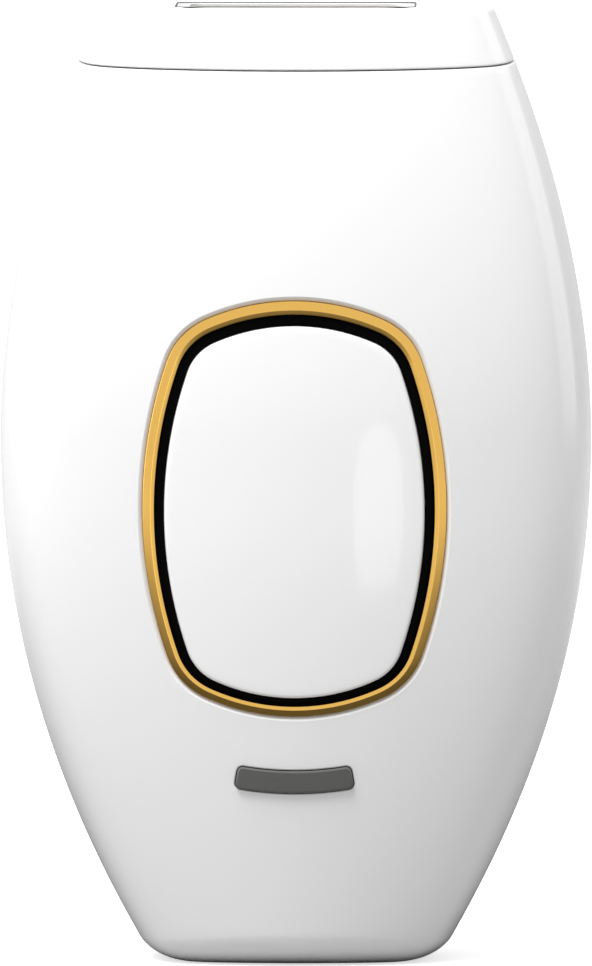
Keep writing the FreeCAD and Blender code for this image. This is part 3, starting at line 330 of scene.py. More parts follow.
def build_skin():
    """Wraps a profile of (height, inset, scale) around the barrel between two turns."""
    plain = [
        ("Columns", "Int"), ("Rows", "Int"), ("Profile", "Object"), ("Material", "Material"),
        ("Turn From", "Float"), ("Turn To", "Float"), ("Fixed Height", "Float"),
        ("Seam Height", "Float"), ("Seam Tilt", "Float"), ("Gap", "Float"),
        ("Edge Softness", "Float"), ("Base Limit", "Float"), ("Base Stretch", "Float"),
    ]
    tree, s, given, result = new_tree("Barrel Skin", plain, [("Geometry", "Geometry")])
    mesh, column, row = numbered_grid(s, given["Columns"], given["Rows"])
    share = s.div(column, s.sub(given["Columns"], 1.0))
    turn = s.mix(share, given["Turn From"], given["Turn To"])
    height, inset, scale = s.split(line_point(s, given["Profile"], row))
    sin = s.do("SINE", turn)
    near_base = s.do("LESS_THAN", height, given["Base Limit"])
    stretch = s.mul(near_base, s.mul(sin, sin))
    stretch = s.add(1.0, s.mul(stretch, s.sub(given["Base Stretch"], 1.0)))
    height, inset = s.mul(height, stretch), s.mul(inset, stretch)
    seam_y = s.group(SECTION, Turn=turn, Z=given["Seam Height"], Inset=0.0)["Y"]
    seam = s.add(given["Seam Height"], s.mul(seam_y, given["Seam Tilt"]))
    fixed = given["Fixed Height"]
    slope = s.div(s.sub(seam, fixed), s.sub(given["Seam Height"], fixed))
    z = s.add(fixed, s.mul(s.sub(height, fixed), slope))
    at = s.group(SECTION, Turn=turn, Z=z, Inset=inset)
    x, y = s.mul(at["X"], scale), s.mul(at["Y"], scale)
    half_gap = s.mul(given["Gap"], 0.5)
    away = s.do("MAXIMUM", s.do("ABSOLUTE", y), half_gap)
    middle = s.add(s.mul(given["Turn From"], 0.5), s.mul(given["Turn To"], 0.5))
    side = s.add(s.do("SINE", middle), s.mul(sin, 0.001))
    y = s.mul(away, s.mul(s.do("SIGN", side), -1.0))
    soft = given["Edge Softness"]
    close = s.do("MAXIMUM", s.sub(soft, s.sub(away, half_gap)), 0.0)
    drop = s.sub(soft, s.do("SQRT", s.sub(s.mul(soft, soft), s.mul(close, close))))
    outside = s.do("LESS_THAN", inset, 1.0)
    x = s.sub(x, s.mul(s.mul(s.do("SIGN", x), drop), s.mul(outside, scale)))
    placed(s, mesh, x, y, z, given["Material"], result)
    return tree


SKIN = build_skin()


# %% Front band tree
def build_band():
    """Wraps a profile of (outset, scale, depth) along a closed path on the front."""
    plain = [
        ("Points", "Int"), ("Rows", "Int"), ("Path", "Object"), ("Profile", "Object"),
        ("Material", "Material"), ("Middle", "Float"), ("Lean", "Float"),
    ]
    tree, s, given, result = new_tree("Front Band", plain, [("Geometry", "Geometry")])
    around = given["Points"]
    mesh, column, row = numbered_grid(s, s.add(around, 1.0), given["Rows"])
    here = line_point(s, given["Path"], s.do("MODULO", column, around))
    after = line_point(s, given["Path"], s.do("MODULO", s.add(column, 1.0), around))
    before = line_point(s, given["Path"], s.do("MODULO", s.add(column, s.sub(around, 1.0)), around))
    hx, _, hz = s.split(here)
    ax, _, az = s.split(after)
    bx, _, bz = s.split(before)
    along_x, along_z = s.sub(ax, bx), s.sub(az, bz)
    span = s.add(s.mul(along_x, along_x), s.mul(along_z, along_z))
    length = s.do("SQRT", span)
    outset, scale, depth = s.split(line_point(s, given["Profile"], row))
    x = s.add(s.mul(hx, scale), s.mul(outset, s.div(along_z, length)))
    over = s.mul(s.sub(hz, given["Middle"]), scale)
    z = s.sub(s.add(given["Middle"], over), s.mul(outset, s.div(along_x, length)))
    z = s.add(z, s.mul(s.do("MINIMUM", outset, 0.0), given["Lean"]))
    y = s.group(CROWN, X=x, Z=z, Inset=depth)["Y"]
    placed(s, mesh, x, y, z, given["Material"], result)
    return tree


BAND = build_band()
print("trees", [t.name for t in bpy.data.node_groups])

# %% [markdown]
# ## Closing and smoothing
# A grid that has been wrapped around something still has doubled points where it meets
# itself, and open ends. They are merged and filled, so every piece is a closed solid that could
# be cast or printed. Cutting a hole in a smooth surface disturbs its shading around the hole,
# so each cut piece takes its shading back from the uncut skin.

# %% Mesh helpers
def cleaned(mesh, weld=2e-6):
    """Merges doubled points, fills open ends and turns every face outwards."""
    work = bmesh.new()
    work.from_mesh(mesh)
    bmesh.ops.remove_doubles(work, verts=work.verts, dist=weld)
    bmesh.ops.dissolve_degenerate(work, edges=work.edges, dist=weld)
    open_edges = [e for e in work.edges if len(e.link_faces) == 1]
    if open_edges:
        filled = bmesh.ops.holes_fill(work, edges=open_edges, sides=0)["faces"]
        bmesh.ops.triangulate(work, faces=filled)
    bmesh.ops.recalc_face_normals(work, faces=work.faces)
    loose = [e for e in work.edges if not e.link_faces]
    bmesh.ops.delete(work, geom=loose, context="EDGES")
    left = sum(1 for e in work.edges if len(e.link_faces) != 2)
    work.to_mesh(mesh)
    work.free()
    print(f"  {mesh.name}: {len(mesh.polygons)} faces, {left} open edges")
    return mesh


SOFT_UP_TO = 35  # degrees between faces that still shade as one surface


def smooth(mesh, angle=SOFT_UP_TO):
    """Smooth shading, with a sharp edge wherever the surface turns by more than the angle."""
    mesh.polygons.foreach_set("use_smooth", [True] * len(mesh.polygons))
    mesh.set_sharp_from_angle(angle=math.radians(angle))


def shown(name, mesh, angle=SOFT_UP_TO):
    """A mesh as an object at the origin, smooth up to an angle."""
    smooth(mesh, angle)
    return linked(name, mesh)


def cut(body, cutters):
    """Subtracts the cutters from a piece and returns the new mesh; the objects are removed."""
    for cutter in cutters:
        modifier = body.modifiers.new("cut", "BOOLEAN")
        modifier.operation = "DIFFERENCE"
        modifier.solver = "EXACT"
        modifier.object = cutter
    mesh = final_mesh(body)
    for cutter in cutters:
        bpy.data.objects.remove(cutter)
    return mesh


NEAR_SKIN = 3e-5  # metres a face may lie from the uncut skin and still take its shading
SAME_WAY = 0.97   # and how nearly it has to face the same way


def shade_like(mesh, skin):
    """Gives faces that lie on the uncut skin the skin's own smooth normals."""
    smooth(mesh)
    points = [v.co.copy() for v in skin.vertices]
    faces = [tuple(p.vertices) for p in skin.polygons]
    tree = BVHTree.FromPolygons(points, faces)
    wanted = [c.vector.copy() for c in skin.corner_normals]
    own = [c.vector.copy() for c in mesh.corner_normals]
    taken = 0
    for face in mesh.polygons:
        place, normal, index, distance = tree.find_nearest(face.center)
        source = skin.polygons[index]
        if distance > NEAR_SKIN or face.normal.dot(source.normal) < SAME_WAY:
            continue
        corners = [points[i] for i in source.vertices]
        taken += 1
        for loop in face.loop_indices:
            spot = mesh.vertices[mesh.loops[loop].vertex_index].co
            weights = poly_3d_calc(corners, spot)
            blended = sum((wanted[c] * w for c, w in zip(source.loop_indices, weights)), Vector())
            own[loop] = blended.normalized()
    mesh.normals_split_custom_set(own)
    print(f"  {mesh.name}: {taken} of {len(mesh.polygons)} faces shaded like the skin")
    return mesh


def profile_object(name, points):
    """A loose line of points that a tree reads by number."""
    mesh = bpy.data.meshes.new(name)
    mesh.from_pydata([tuple(p) for p in points], [], [])
    return linked(name, mesh)


# %% [markdown]
# ## Profiles of the shells
# The profile runs from the middle of the base outwards, around the soft base edge, up the
# outside, over a small roll at the seam and down the inside. Moulded parts have this roll: the
# edge of the cavity is never perfectly sharp, and light catches it as a thin bright line. The
# ribs, bosses and ledges behind the outer millimetre keep the frame's own shape, because they
# have to meet the screws and the boards exactly.

# %% Shell profile
GAP = 0.20
PARTING_GAP = 0.16
ROLL = 0.25
SKIN_DEPTH = 1.3
CORE_INSET = 1.2
HEAD_EDGE = 0.8
BASE_LIMIT = 5.5     # the base edge is stretched towards front and rear below this height
BASE_STRETCH = 1.46
MIDDLE = 1e-4        # a share of the way out that is nearly, but not quite, the axis


def arc(start, end, centre, radii, count):
    """Points (height, inset, scale) of an elliptical arc; zero degrees points outwards, 90 up."""
    points = []
    for i in range(count + 1):
        angle = math.radians(start + (end - start) * i / count)
        height = centre[0] + radii[0] * math.sin(angle)
        points.append((height, centre[1] - radii[1] * math.cos(angle), 1.0))
    return points


def straight(low, high, inset, count):
    """Points up or down a wall at one inset."""
    return [(z, inset, 1.0) for z in np.linspace(low, high, count)]


def shell_profile():
    """Base centre, base edge, outside, roll at the seam and back down one skin deeper."""
    top = SEAM_HEIGHT - GAP / 2
    outer = [(0.0, 4.0, share) for share in (MIDDLE, 0.3, 0.6, 0.85)]
    outer += arc(-90, 0, (3.4, 4.0), (3.4, 4.0), 16)
    outer += straight(5.8, top - ROLL - 1.0, 0.0, 96)
    outer += arc(0, 90, (top - ROLL, ROLL), (ROLL, ROLL), 6)
    inner = straight(top, 7.8, SKIN_DEPTH, 30)
    inner += arc(0, -90, (5.0, 4.6), (3.7, 3.3), 8)
    inner += [(SKIN_DEPTH, 4.6, share) for share in (0.6, 0.3, MIDDLE)]
    return outer + inner


def cover_profile():
    """The lamp head's cover: roll at the seam, outside, soft top edge, face, and back inside."""
    low, high = SEAM_HEIGHT + GAP / 2, HEIGHT
    outer = arc(-90, 0, (low + ROLL, ROLL), (ROLL, ROLL), 6)
    outer += straight(low + ROLL + 0.6, high - HEAD_EDGE - 0.5, 0.0, 8)
    outer += arc(0, 90, (high - HEAD_EDGE, HEAD_EDGE), (HEAD_EDGE, HEAD_EDGE), 10)
    outer += [(high, HEAD_EDGE, share) for share in (0.9, 0.7, 0.5, 0.3, 0.15, MIDDLE)]
    under = high - SKIN_DEPTH
    inner = [(under, SKIN_DEPTH, share) for share in (MIDDLE, 0.3, 0.6, 0.9, 1.0)]
    inner += straight(under - 0.5, low, SKIN_DEPTH, 6)
    return outer + inner + [outer[0]]


def core_profile(low, high):
    """Everything deeper than the skin, from one height to another."""
    start = [(low, 5.2, MIDDLE)] + (
        arc(-90, 0, (5.0, 4.5), (3.8, 3.3), 8) if low < 5 else [(low, CORE_INSET, 1.0)]
    )
    return start + straight(max(low, 7.8), high, CORE_INSET, 60) + [(high, CORE_INSET, MIDDLE)]


def skin_mesh(name, profile, turns, fixed_height, columns=150, gap=PARTING_GAP):
    """The barrel's skin between two turns: nought to half a turn is the front."""
    line = profile_object(name + "_profile", profile)
    values = {
        "Columns": columns, "Rows": len(profile), "Profile": line,
        "Turn From": turns[0] * math.pi, "Turn To": turns[1] * math.pi,
        "Fixed Height": fixed_height, "Seam Height": SEAM_HEIGHT, "Seam Tilt": SEAM_TILT,
        "Gap": gap, "Edge Softness": ROLL, "Base Limit": BASE_LIMIT, "Base Stretch": BASE_STRETCH,
    }
    mesh = cleaned(mesh_from_tree(name, SKIN, values))
    bpy.data.objects.remove(line)
    return mesh


FRONT, REAR, WHOLE = (0.0, 1.0), (1.0, 2.0), (0.0, 2.0)
skins = {
    "front_shell": skin_mesh("front_shell_skin", shell_profile(), FRONT, 0.0),
    "rear_shell": skin_mesh("rear_shell_skin", shell_profile(), REAR, 0.0),
    "head_cover_front": skin_mesh("head_cover_front_skin", cover_profile(), FRONT, HEIGHT),
    "head_cover_rear": skin_mesh("head_cover_rear_skin", cover_profile(), REAR, HEIGHT),
}
for node, skin in skins.items():
    low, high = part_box(node)
    mine = np.array([v.co for v in skin.vertices])
    gaps = np.abs(np.concatenate([mine.min(0) - low, mine.max(0) - high])) * 1000
    print(f"  {node}: box differs from the frame's by at most {gaps.max():.2f} mm")

# %% [markdown]
# ## Outlines on the front
# The ring's oval is eight arcs: two flat sides, two ends and four corners, as a stamping tool
# would be cut. The level bar is bent around a centre far above it, with rounded corners. Each
# outline is a loose line of points in millimetres, seen from the front.

# %% Oval and bar outlines
OVAL_SIDE, OVAL_END, OVAL_CORNER = 66.1, 32.0, 10.4
OVAL_HALF_WIDTH, OVAL_HALF_HEIGHT = 22.2, 30.4
GOLD_WIDTH, BLACK_WIDTH, CAP_INSET, OVAL_LEAN = 1.7, 1.31, 3.18, 0.5
BAR_BEND, BAR_THICK, BAR_HALF_CHORD, BAR_CORNER = 46.6, 3.25, 8.2, 0.8


def turned(centre, radius, start, end, count):
    """Points of an arc in the front view, the last one left out."""
    step = (end - start) / count
    angles = [start + step * i for i in range(count)]
    return [(centre[0] + radius * math.cos(a), centre[1] + radius * math.sin(a)) for a in angles]


def oval_outline(middle=RING_HEIGHT):
    """The ring's outer edge, anticlockwise from the right-hand side."""
    side_x = OVAL_HALF_WIDTH - OVAL_SIDE
    end_z = OVAL_HALF_HEIGHT - OVAL_END
    span = math.hypot(side_x, end_z)
    to_side, to_end = OVAL_SIDE - OVAL_CORNER, OVAL_END - OVAL_CORNER
    along = (to_side ** 2 - to_end ** 2 + span ** 2) / (2 * span)
    across = math.sqrt(to_side ** 2 - along ** 2)
    ux, uz = -side_x / span, end_z / span
    cx, cz = side_x + along * ux - across * uz, along * uz + across * ux
    side_turn, end_turn = math.atan2(cz, cx - side_x), math.atan2(cz - end_z, cx)
    right = turned((side_x, 0), OVAL_SIDE, 0.0, side_turn, 24)
    right += turned((cx, cz), OVAL_CORNER, side_turn, end_turn, 24)
    right += turned((0, end_z), OVAL_END, end_turn, math.pi / 2, 24)
    left = [(-x, z) for x, z in reversed(right[1:])]
    upper = right + [(0.0, OVAL_HALF_HEIGHT)] + left
    lower = [(-x, -z) for x, z in upper]
    return [(x, 0.0, middle + z) for x, z in upper + [(-OVAL_HALF_WIDTH, 0.0)] + lower[1:]]


def bar_outline():
    """The level bar's edge, anticlockwise: a rounded strip bent around its centre above."""
    middle = BAR_BEND + BAR_THICK / 2
    length = math.asin(BAR_HALF_CHORD / BAR_BEND) * middle
    half, corner = BAR_THICK / 2, BAR_CORNER
    strip = [(t, half) for t in np.linspace(-length + corner, length - corner, 48)]
    strip += turned((length - corner, half - corner), corner, math.pi / 2, 0, 8)[1:]
    strip += [(length, 0.0)]
    strip += turned((length - corner, corner - half), corner, 0, -math.pi / 2, 8)[1:]
    strip += [(-t, -r) for t, r in strip]
    points = []
    for along, out in strip:
        turn, radius = along / middle, middle + out
        points.append((radius * math.sin(turn), 0.0, BAR_TOP + BAR_BEND - radius * math.cos(turn)))
    return points


# %% [markdown]
# ## Rings, buttons and the cutters for their openings
# Every profile below is (how far out of the outline, share of the way from the middle, depth
# under the crown). The gold ring has a wide outer facet and a narrow inner one that leans into
# the oval: this is what gives an anodised ring one dark and one light line. The openings in the
# shell have a small roll where the cavity meets the outside.

# %% Profiles for the front
def edge_round(inset, depth, radius, count):
    """A quarter circle from the top face over the edge, at an inset from the outline."""
    points = []
    for i in range(count + 1):
        angle = math.pi / 2 * i / count
        outset = -inset - radius + radius * math.sin(angle)
        points.append((outset, 1.0, depth + radius - radius * math.cos(angle)))
    return points


def ring_profile(outer, inner, top, bottom=3.0):
    """A closed ring: down the outer side, across the bottom, up the inner side, over the top."""
    side = [(-outer, 1.0, bottom - 0.3), (-outer - 0.04, 1.0, bottom)]
    back = [(-inner + 0.04, 1.0, bottom), (-inner, 1.0, bottom - 0.3)]
    face = [(-inset, 1.0, depth) for inset, depth in top]
    return face + side + back + face[:1]


GOLD_RING = ring_profile(0.0, GOLD_WIDTH, [
    (1.70, 0.10), (1.68, 0.01), (1.63, -0.03), (1.56, -0.065), (1.22, -0.235), (1.15, -0.265),
    (1.09, -0.28), (1.02, -0.275), (0.20, -0.075), (0.10, -0.045), (0.03, 0.0), (0.0, 0.10),
])
BLACK_START = GOLD_WIDTH + 0.05
BLACK_RING = ring_profile(BLACK_START, BLACK_START + BLACK_WIDTH, [
    (3.06, 0.62), (3.02, 0.52), (2.92, 0.46), (2.40, 0.43), (1.92, 0.46), (1.80, 0.52),
    (1.75, 0.62),
])


def cap_profile(inset, top, radius, bottom=1.3):
    """A solid button: face that follows the crown, rounded edge, side, underside."""
    rim = -inset - radius
    face = [(rim * share, max(share, MIDDLE), top) for share in np.linspace(0, 1, 33)]
    under = [(-inset, 1.0, bottom - 0.1), (-inset - 0.1, 1.0, bottom)]
    under += [((-inset - 0.1) * share, max(share, MIDDLE), bottom) for share in (0.6, 0.3, 0.0)]
    return face + edge_round(inset, top, radius, 8)[1:] + under


def opening_profile(outset, bend):
    """Cutter for an opening: a flare over the surface, a bent edge, then the wall."""
    top = bend[0][0]
    start = [(0.0, MIDDLE, -4.0), (0.3 * top, 0.5, -4.0), (outset + top + 0.15, 1.0, -4.0)]
    edge = [(outset + top + 0.15, 1.0, -0.06)] + [(outset + a, 1.0, b) for a, b in bend]
    close = [(outset, 1.0, 6.0), (0.5 * outset, 0.5, 6.0), (0.0, MIDDLE, 6.0)]
    return start + edge + close


OVAL_BEND = [(0.66, -0.004), (0.58, 0.03), (0.46, 0.10), (0.06, 0.38), (0.0, 0.46)]
BAR_BEND_EDGE = [(0.22, 0.0), (0.136, 0.026), (0.077, 0.066), (0.026, 0.136), (0.0, 0.22)]


def band_mesh(name, outline, profile, middle, lean=0.0):
    """A ring, a button or a cutter along one of the outlines."""
    path = profile_object(name + "_path", outline)
    line = profile_object(name + "_profile", profile)
    values = {
        "Points": len(outline), "Rows": len(profile), "Path": path, "Profile": line,
        "Middle": middle, "Lean": lean,
    }
    mesh = cleaned(mesh_from_tree(name, BAND, values))
    bpy.data.objects.remove(path)
    bpy.data.objects.remove(line)
    return mesh


OVAL, BAR = oval_outline(), bar_outline()
BAR_MIDDLE = BAR_TOP - BAR_THICK / 2
LEAN = OVAL_LEAN / CAP_INSET
gold_mesh = band_mesh("gold_ring_turned", OVAL, GOLD_RING, RING_HEIGHT, LEAN)
black_mesh = band_mesh("black_ring_moulded", OVAL, BLACK_RING, RING_HEIGHT, LEAN)
CAP_MIDDLE = RING_HEIGHT - OVAL_LEAN
flash_mesh = band_mesh(
    "flash_button_face", oval_outline(CAP_MIDDLE), cap_profile(CAP_INSET, -0.10, 0.5),
    CAP_MIDDLE)
level_mesh = band_mesh("level_button_face", BAR, cap_profile(0.0, -0.55, 0.3), BAR_MIDDLE)


# %% [markdown]
# ## Cutting the openings
# The outer millimetre of each shell is cut with the same openings as the frame: the oval, the
# bar, the inlet, the slots for the fan's air and the four screw recesses. What lies deeper is
# taken from the frame's own mesh, so ribs, bosses and ledges stay exactly where they are.

# %% Cutters
def taken_from(work, name):
    """The work as a mesh of its own."""
    mesh = bpy.data.meshes.new(name)
    work.to_mesh(mesh)
    work.free()
    return mesh


def stacked(name, rings, looped=False):
    """A closed solid: each ring of points joined to the next, then capped or looped round."""
    work = bmesh.new()
    made = [[work.verts.new([c / 1000 for c in p]) for p in ring] for ring in rings]
    for low, high in zip(made, made[1:] + (made[:1] if looped else [])):
        for i in range(len(low)):
            j = (i + 1) % len(low)
            work.faces.new((low[i], low[j], high[j], high[i]))
    if not looped:
        work.faces.new(list(reversed(made[0])))
        work.faces.new(made[-1])
    bmesh.ops.recalc_face_normals(work, faces=work.faces)
    return taken_from(work, name)


def solid_from(name, rings):
    """A cutter from rings of points, with capped ends."""
    return shown(name, stacked(name, rings))


def round_ring(x, z, radius, y):
    """A circle seen from the front or rear, at one y."""
    return [(px, y, pz) for px, pz in turned((x, z), radius, 0, 2 * math.pi, 48)]


def level_ring(x, radius, z, count):
    """A circle seen from above, at one height."""
    return [(px, y, z) for px, y in turned((x, 0.0), radius, 0, 2 * math.pi, count)]


def slot_ring(x, z, half_length, half_height, y):
    """A slot with round ends seen from the rear, at one y."""
    straight_half = half_length - half_height
    right = turned((x + straight_half, z), half_height, -math.pi / 2, math.pi / 2, 12)
    left = turned((x - straight_half, z), half_height, math.pi / 2, 1.5 * math.pi, 12)
    ends = [(x + straight_half, z + half_height)], [(x - straight_half, z - half_height)]
    return [(px, y, pz) for px, pz in right + ends[0] + left + ends[1]]


FAN_HEIGHT, CAPACITOR_HEIGHT, SLOT_PITCH, SLOT_HALF = 97.4, 45.5, 3.6, 0.8
VENTS = [(FAN_HEIGHT + SLOT_PITCH * i, 13.0, SLOT_PITCH * i) for i in range(-3, 4)]
VENTS += [
    (CAPACITOR_HEIGHT - 5.4 + SLOT_PITCH * i, 11.0, 2.4 * (i - 1.5)) for i in range(4)
]


def half_width(z):
    """The barrel's half width at a height, for the places of the screws."""
    over = z - BARREL["Widest At"]
    if over > 0:
        share = (over / (HEIGHT - BARREL["Widest At"])) ** BARREL["Upper Power"]
        return BARREL["Half Width"] - (BARREL["Half Width"] - BARREL["Top Half Width"]) * share
    share = (-over / BARREL["Widest At"]) ** BARREL["Lower Power"]
    return BARREL["Half Width"] - (BARREL["Half Width"] - BARREL["Base Half Width"]) * share


SCREW_INSET, SCREW_HEIGHTS, RECESS_RADIUS = 6.8, (12.5, 103.9), 3.1
SCREWS = [(side * (half_width(z) - SCREW_INSET), z) for z in SCREW_HEIGHTS for side in (-1, 1)]
REAR_CUT = (3.0, 40.0)  # from inside the housing to well behind it


def inlet_cutter():
    """The round inlet in the base, with a roll where it meets the outside."""
    heights = [(-1.0, 4.9), (-0.05, 4.85), (0.03, 4.62), (0.12, 4.44), (0.3, 4.35), (4.0, 4.35)]
    return solid_from("inlet_cutter", [level_ring(0.0, radius, z, 64) for z, radius in heights])


FRAME_HALF_WIDTH, FRAME_HALF_DEPTH, FRAME_CORNER = 17.5, 9.25, 2.5


def frame_ring(grow, z):
    """The window frame's outline at one height."""
    points, reach = [], FRAME_CORNER + grow
    for sx, sy, start in ((1, 1, 0), (-1, 1, 0.5), (-1, -1, 1), (1, -1, 1.5)):
        centre = (sx * (FRAME_HALF_WIDTH - FRAME_CORNER), sy * (FRAME_HALF_DEPTH - FRAME_CORNER))
        angle = (start + 0.5) * math.pi
        points += turned(centre, reach, start * math.pi, angle, 8)
        points.append((centre[0] + reach * math.cos(angle), centre[1] + reach * math.sin(angle)))
    return [(x, y, z) for x, y in points]


SENSOR_PLACE = -19.0


def head_cutters():
    """Openings for the window frame and the skin sensor, each with a small roll."""
    window = [(0.05, -4), (0.05, -0.2), (0.1, -0.06), (0.2, 0.01), (0.5, 1)]
    sensor = [(1.15, -4), (1.15, -0.15), (1.25, -0.03), (1.35, 0.01), (1.6, 1)]
    return [
        solid_from("window_cutter", [frame_ring(grow, HEIGHT + z) for grow, z in window]),
        solid_from("sensor_cutter", [
            level_ring(SENSOR_PLACE, radius, HEIGHT + z, 32) for radius, z in sensor
        ]),
    ]


def front_cutters():
    oval = opening_profile(0.05, OVAL_BEND)
    bar = opening_profile(0.12, BAR_BEND_EDGE)
    return [
        shown("oval_cutter", band_mesh("oval_cutter", OVAL, oval, RING_HEIGHT)),
        shown("bar_cutter", band_mesh("bar_cutter", BAR, bar, BAR_MIDDLE)),
        inlet_cutter(),
    ]


def rear_cutters():
    slots = [
        solid_from("slot_cutter", [
            slot_ring(0, z, math.sqrt(reach ** 2 - offset ** 2), SLOT_HALF, y) for y in REAR_CUT
        ])
        for z, reach, offset in VENTS
    ]
    recesses = [
        solid_from("recess_cutter", [round_ring(x, z, RECESS_RADIUS, y) for y in REAR_CUT])
        for x, z in SCREWS
    ]
    return slots + recesses + [inlet_cutter()]


# %% Cut the skins
outer_meshes = {}
for node, cutters in {
    "front_shell": front_cutters(), "rear_shell": rear_cutters(),
    "head_cover_front": head_cutters(), "head_cover_rear": head_cutters(),
}.items():
    body = shown(node + "_uncut", skins[node], angle=50)
    cut_mesh = cut(body, cutters)
    cut_mesh.name = node + "_outside"
    outer_meshes[node] = shade_like(cut_mesh, skins[node])

# %% Keep what lies deeper
depths = core_profile(SKIN_DEPTH, HEIGHT - CORE_INSET)
core = shown("core", skin_mesh("core_skin", depths, WHOLE, 0.0, columns=220, gap=0.0))


def inside_mesh(node):
    """The frame's own mesh of a node, without its outer millimetre."""
    mesh = cleaned(frame["nodes"][node].data.copy(), weld=1e-6)
    body = shown(node + "_whole", mesh)
    modifier = body.modifiers.new("core", "BOOLEAN")
    modifier.operation, modifier.solver, modifier.object = "INTERSECT", "EXACT", core
    kept = final_mesh(body)
    kept.name = node + "_inside"
    print(f"  {kept.name}: {len(kept.polygons)} faces")
    return kept


REMADE = ("front_shell", "rear_shell", "head_cover_front", "head_cover_rear",
          "flash_button_cap", "level_button_cap")
inner_meshes = {node: inside_mesh(node) for node in REMADE}
bpy.data.objects.remove(core)


# %% [markdown]
# ## Finishes
# Three effects are shared. Handling leaves a very thin film of dust on faces that look up.
# A moulding has a fine grain from its tool, much finer on polished parts. Edges that hands and
# drawers rub are a little duller than the faces between them, and a little brighter: the
# brighter edge is a painted highlight, a sheen where light catches it.

# %% Shared shader groups
def shader_group(name, inputs, outputs):
    """An empty shader group with named inputs and outputs."""
    tree = bpy.data.node_groups.new(name, "ShaderNodeTree")
    for label, kind, value in inputs:
        socket = tree.interface.new_socket(label, in_out="INPUT", socket_type="NodeSocket" + kind)
        socket.default_value = value
    for label, kind in outputs:
        tree.interface.new_socket(label, in_out="OUTPUT", socket_type="NodeSocket" + kind)
    start, end = tree.nodes.new("NodeGroupInput"), tree.nodes.new("NodeGroupOutput")
    return tree, Sums(tree), start.outputs, end.inputs


def noise_at(s, vector, scale, detail=2.0, roughness=0.5):
    """Noise over the object's own coordinates."""
    made = s.node("ShaderNodeTexNoise")
    s.feed(made.inputs["Vector"], vector)
    s.feed(made.inputs["Scale"], scale)
    made.inputs["Detail"].default_value = detail
    made.inputs["Roughness"].default_value = roughness
    return made.outputs["Fac"]


def ramp(s, value, low, high):
    """A clamped straight ramp from nought to one."""
    made = s.node("ShaderNodeMapRange", clamp=True)
    for label, number in (("Value", value), ("From Min", low), ("From Max", high)):
        s.feed(made.inputs[label], number)
    return made.outputs["Result"]


def mixed(s, share, low, high):
    """Mix of two colours."""
    made = s.node("ShaderNodeMix", data_type="RGBA")
    s.feed(made.inputs[0], share)
    s.feed(made.inputs[6], low)
    s.feed(made.inputs[7], high)
    return made.outputs[2]


COVERED = [("Color", "Color", (0.8, 0.8, 0.8, 1)), ("Roughness", "Float", 0.2),
           ("Amount", "Float", 0.2)]
FINISHED = [("Color", "Color"), ("Roughness", "Float")]


def build_dust():
    """A thin film on what looks up, in patches and specks."""
    tree, s, given, result = shader_group(
        "Settled Dust", COVERED + [("Dust Color", "Color", (0.62, 0.60, 0.56, 1))], FINISHED)
    place = s.node("ShaderNodeTexCoord").outputs["Object"]
    up = s.split(s.node("ShaderNodeNewGeometry").outputs["Normal"])[2]
    facing = ramp(s, up, 0.1, 0.9)
    patches = ramp(s, noise_at(s, place, 90.0, 4.0, 0.6), 0.35, 0.75)
    specks = ramp(s, noise_at(s, place, 2600.0, 1.0), 0.62, 0.75)
    lying = s.add(s.mul(patches, 0.6), s.mul(specks, 0.6))
    film = s.mul(s.mul(s.add(facing, 0.15), lying), given["Amount"])
    s.feed(result["Color"], mixed(s, film, given["Color"], given["Dust Color"]))
    s.feed(result["Roughness"], s.add(given["Roughness"], s.mul(film, 0.5)))
    return tree


def build_wear_and_sheen():
    """Edges duller as if rubbed, and lighter as a painted highlight on sharp edges, with breaks."""
    tree, s, given, result = shader_group(
        "Edge Wear And Sheen", COVERED + [("Worn Color", "Color", (0.95, 0.95, 0.95, 1))], FINISHED)
    place = s.node("ShaderNodeTexCoord").outputs["Object"]
    sharp = ramp(s, s.node("ShaderNodeNewGeometry").outputs["Pointiness"], 0.52, 0.60)
    broken = ramp(s, noise_at(s, place, 420.0, 3.0, 0.7), 0.4, 0.65)
    # Sharp edges get the lighter edge colour: a painted highlight where light would catch the edge,
    # plus a little extra roughness as wear.
    worn_and_sheen = s.mul(s.mul(sharp, broken), given["Amount"])
    s.feed(result["Color"], mixed(s, worn_and_sheen, given["Color"], given["Worn Color"]))
    s.feed(result["Roughness"], s.add(given["Roughness"], s.mul(worn_and_sheen, 0.15)))
    return tree


def build_grain():
    """Relief of the tool's grain, a slow wave and drawn streaks, with the gloss they vary."""
    tree, s, given, result = shader_group(
        "Tool Grain",
        [("Fineness", "Float", 1500.0), ("Waviness", "Float", 0.3), ("Streaks", "Float", 0.0),
         ("Roughness", "Float", 0.2), ("Spread", "Float", 0.05)],
        [("Height", "Float"), ("Roughness", "Float")])
    place = s.node("ShaderNodeTexCoord").outputs["Object"]
    x, y, z = s.split(place)
    fine = noise_at(s, place, given["Fineness"], 2.0, 0.6)
    wave = noise_at(s, place, 45.0, 2.0, 0.4)
    drawn = noise_at(s, s.vector(s.mul(x, 9000.0), s.mul(y, 9000.0), s.mul(z, 220.0)), 1.0, 2.0)
    height = s.add(s.add(fine, s.mul(wave, given["Waviness"])), s.mul(drawn, given["Streaks"]))
    s.feed(result["Height"], height)
    varied = s.mul(s.sub(s.add(s.mul(wave, 0.7), s.mul(fine, 0.3)), 0.5), given["Spread"])
    s.feed(result["Roughness"], s.add(given["Roughness"], varied))
    return tree


DUST, WEAR_AND_SHEEN, GRAIN = build_dust(), build_wear_and_sheen(), build_grain()


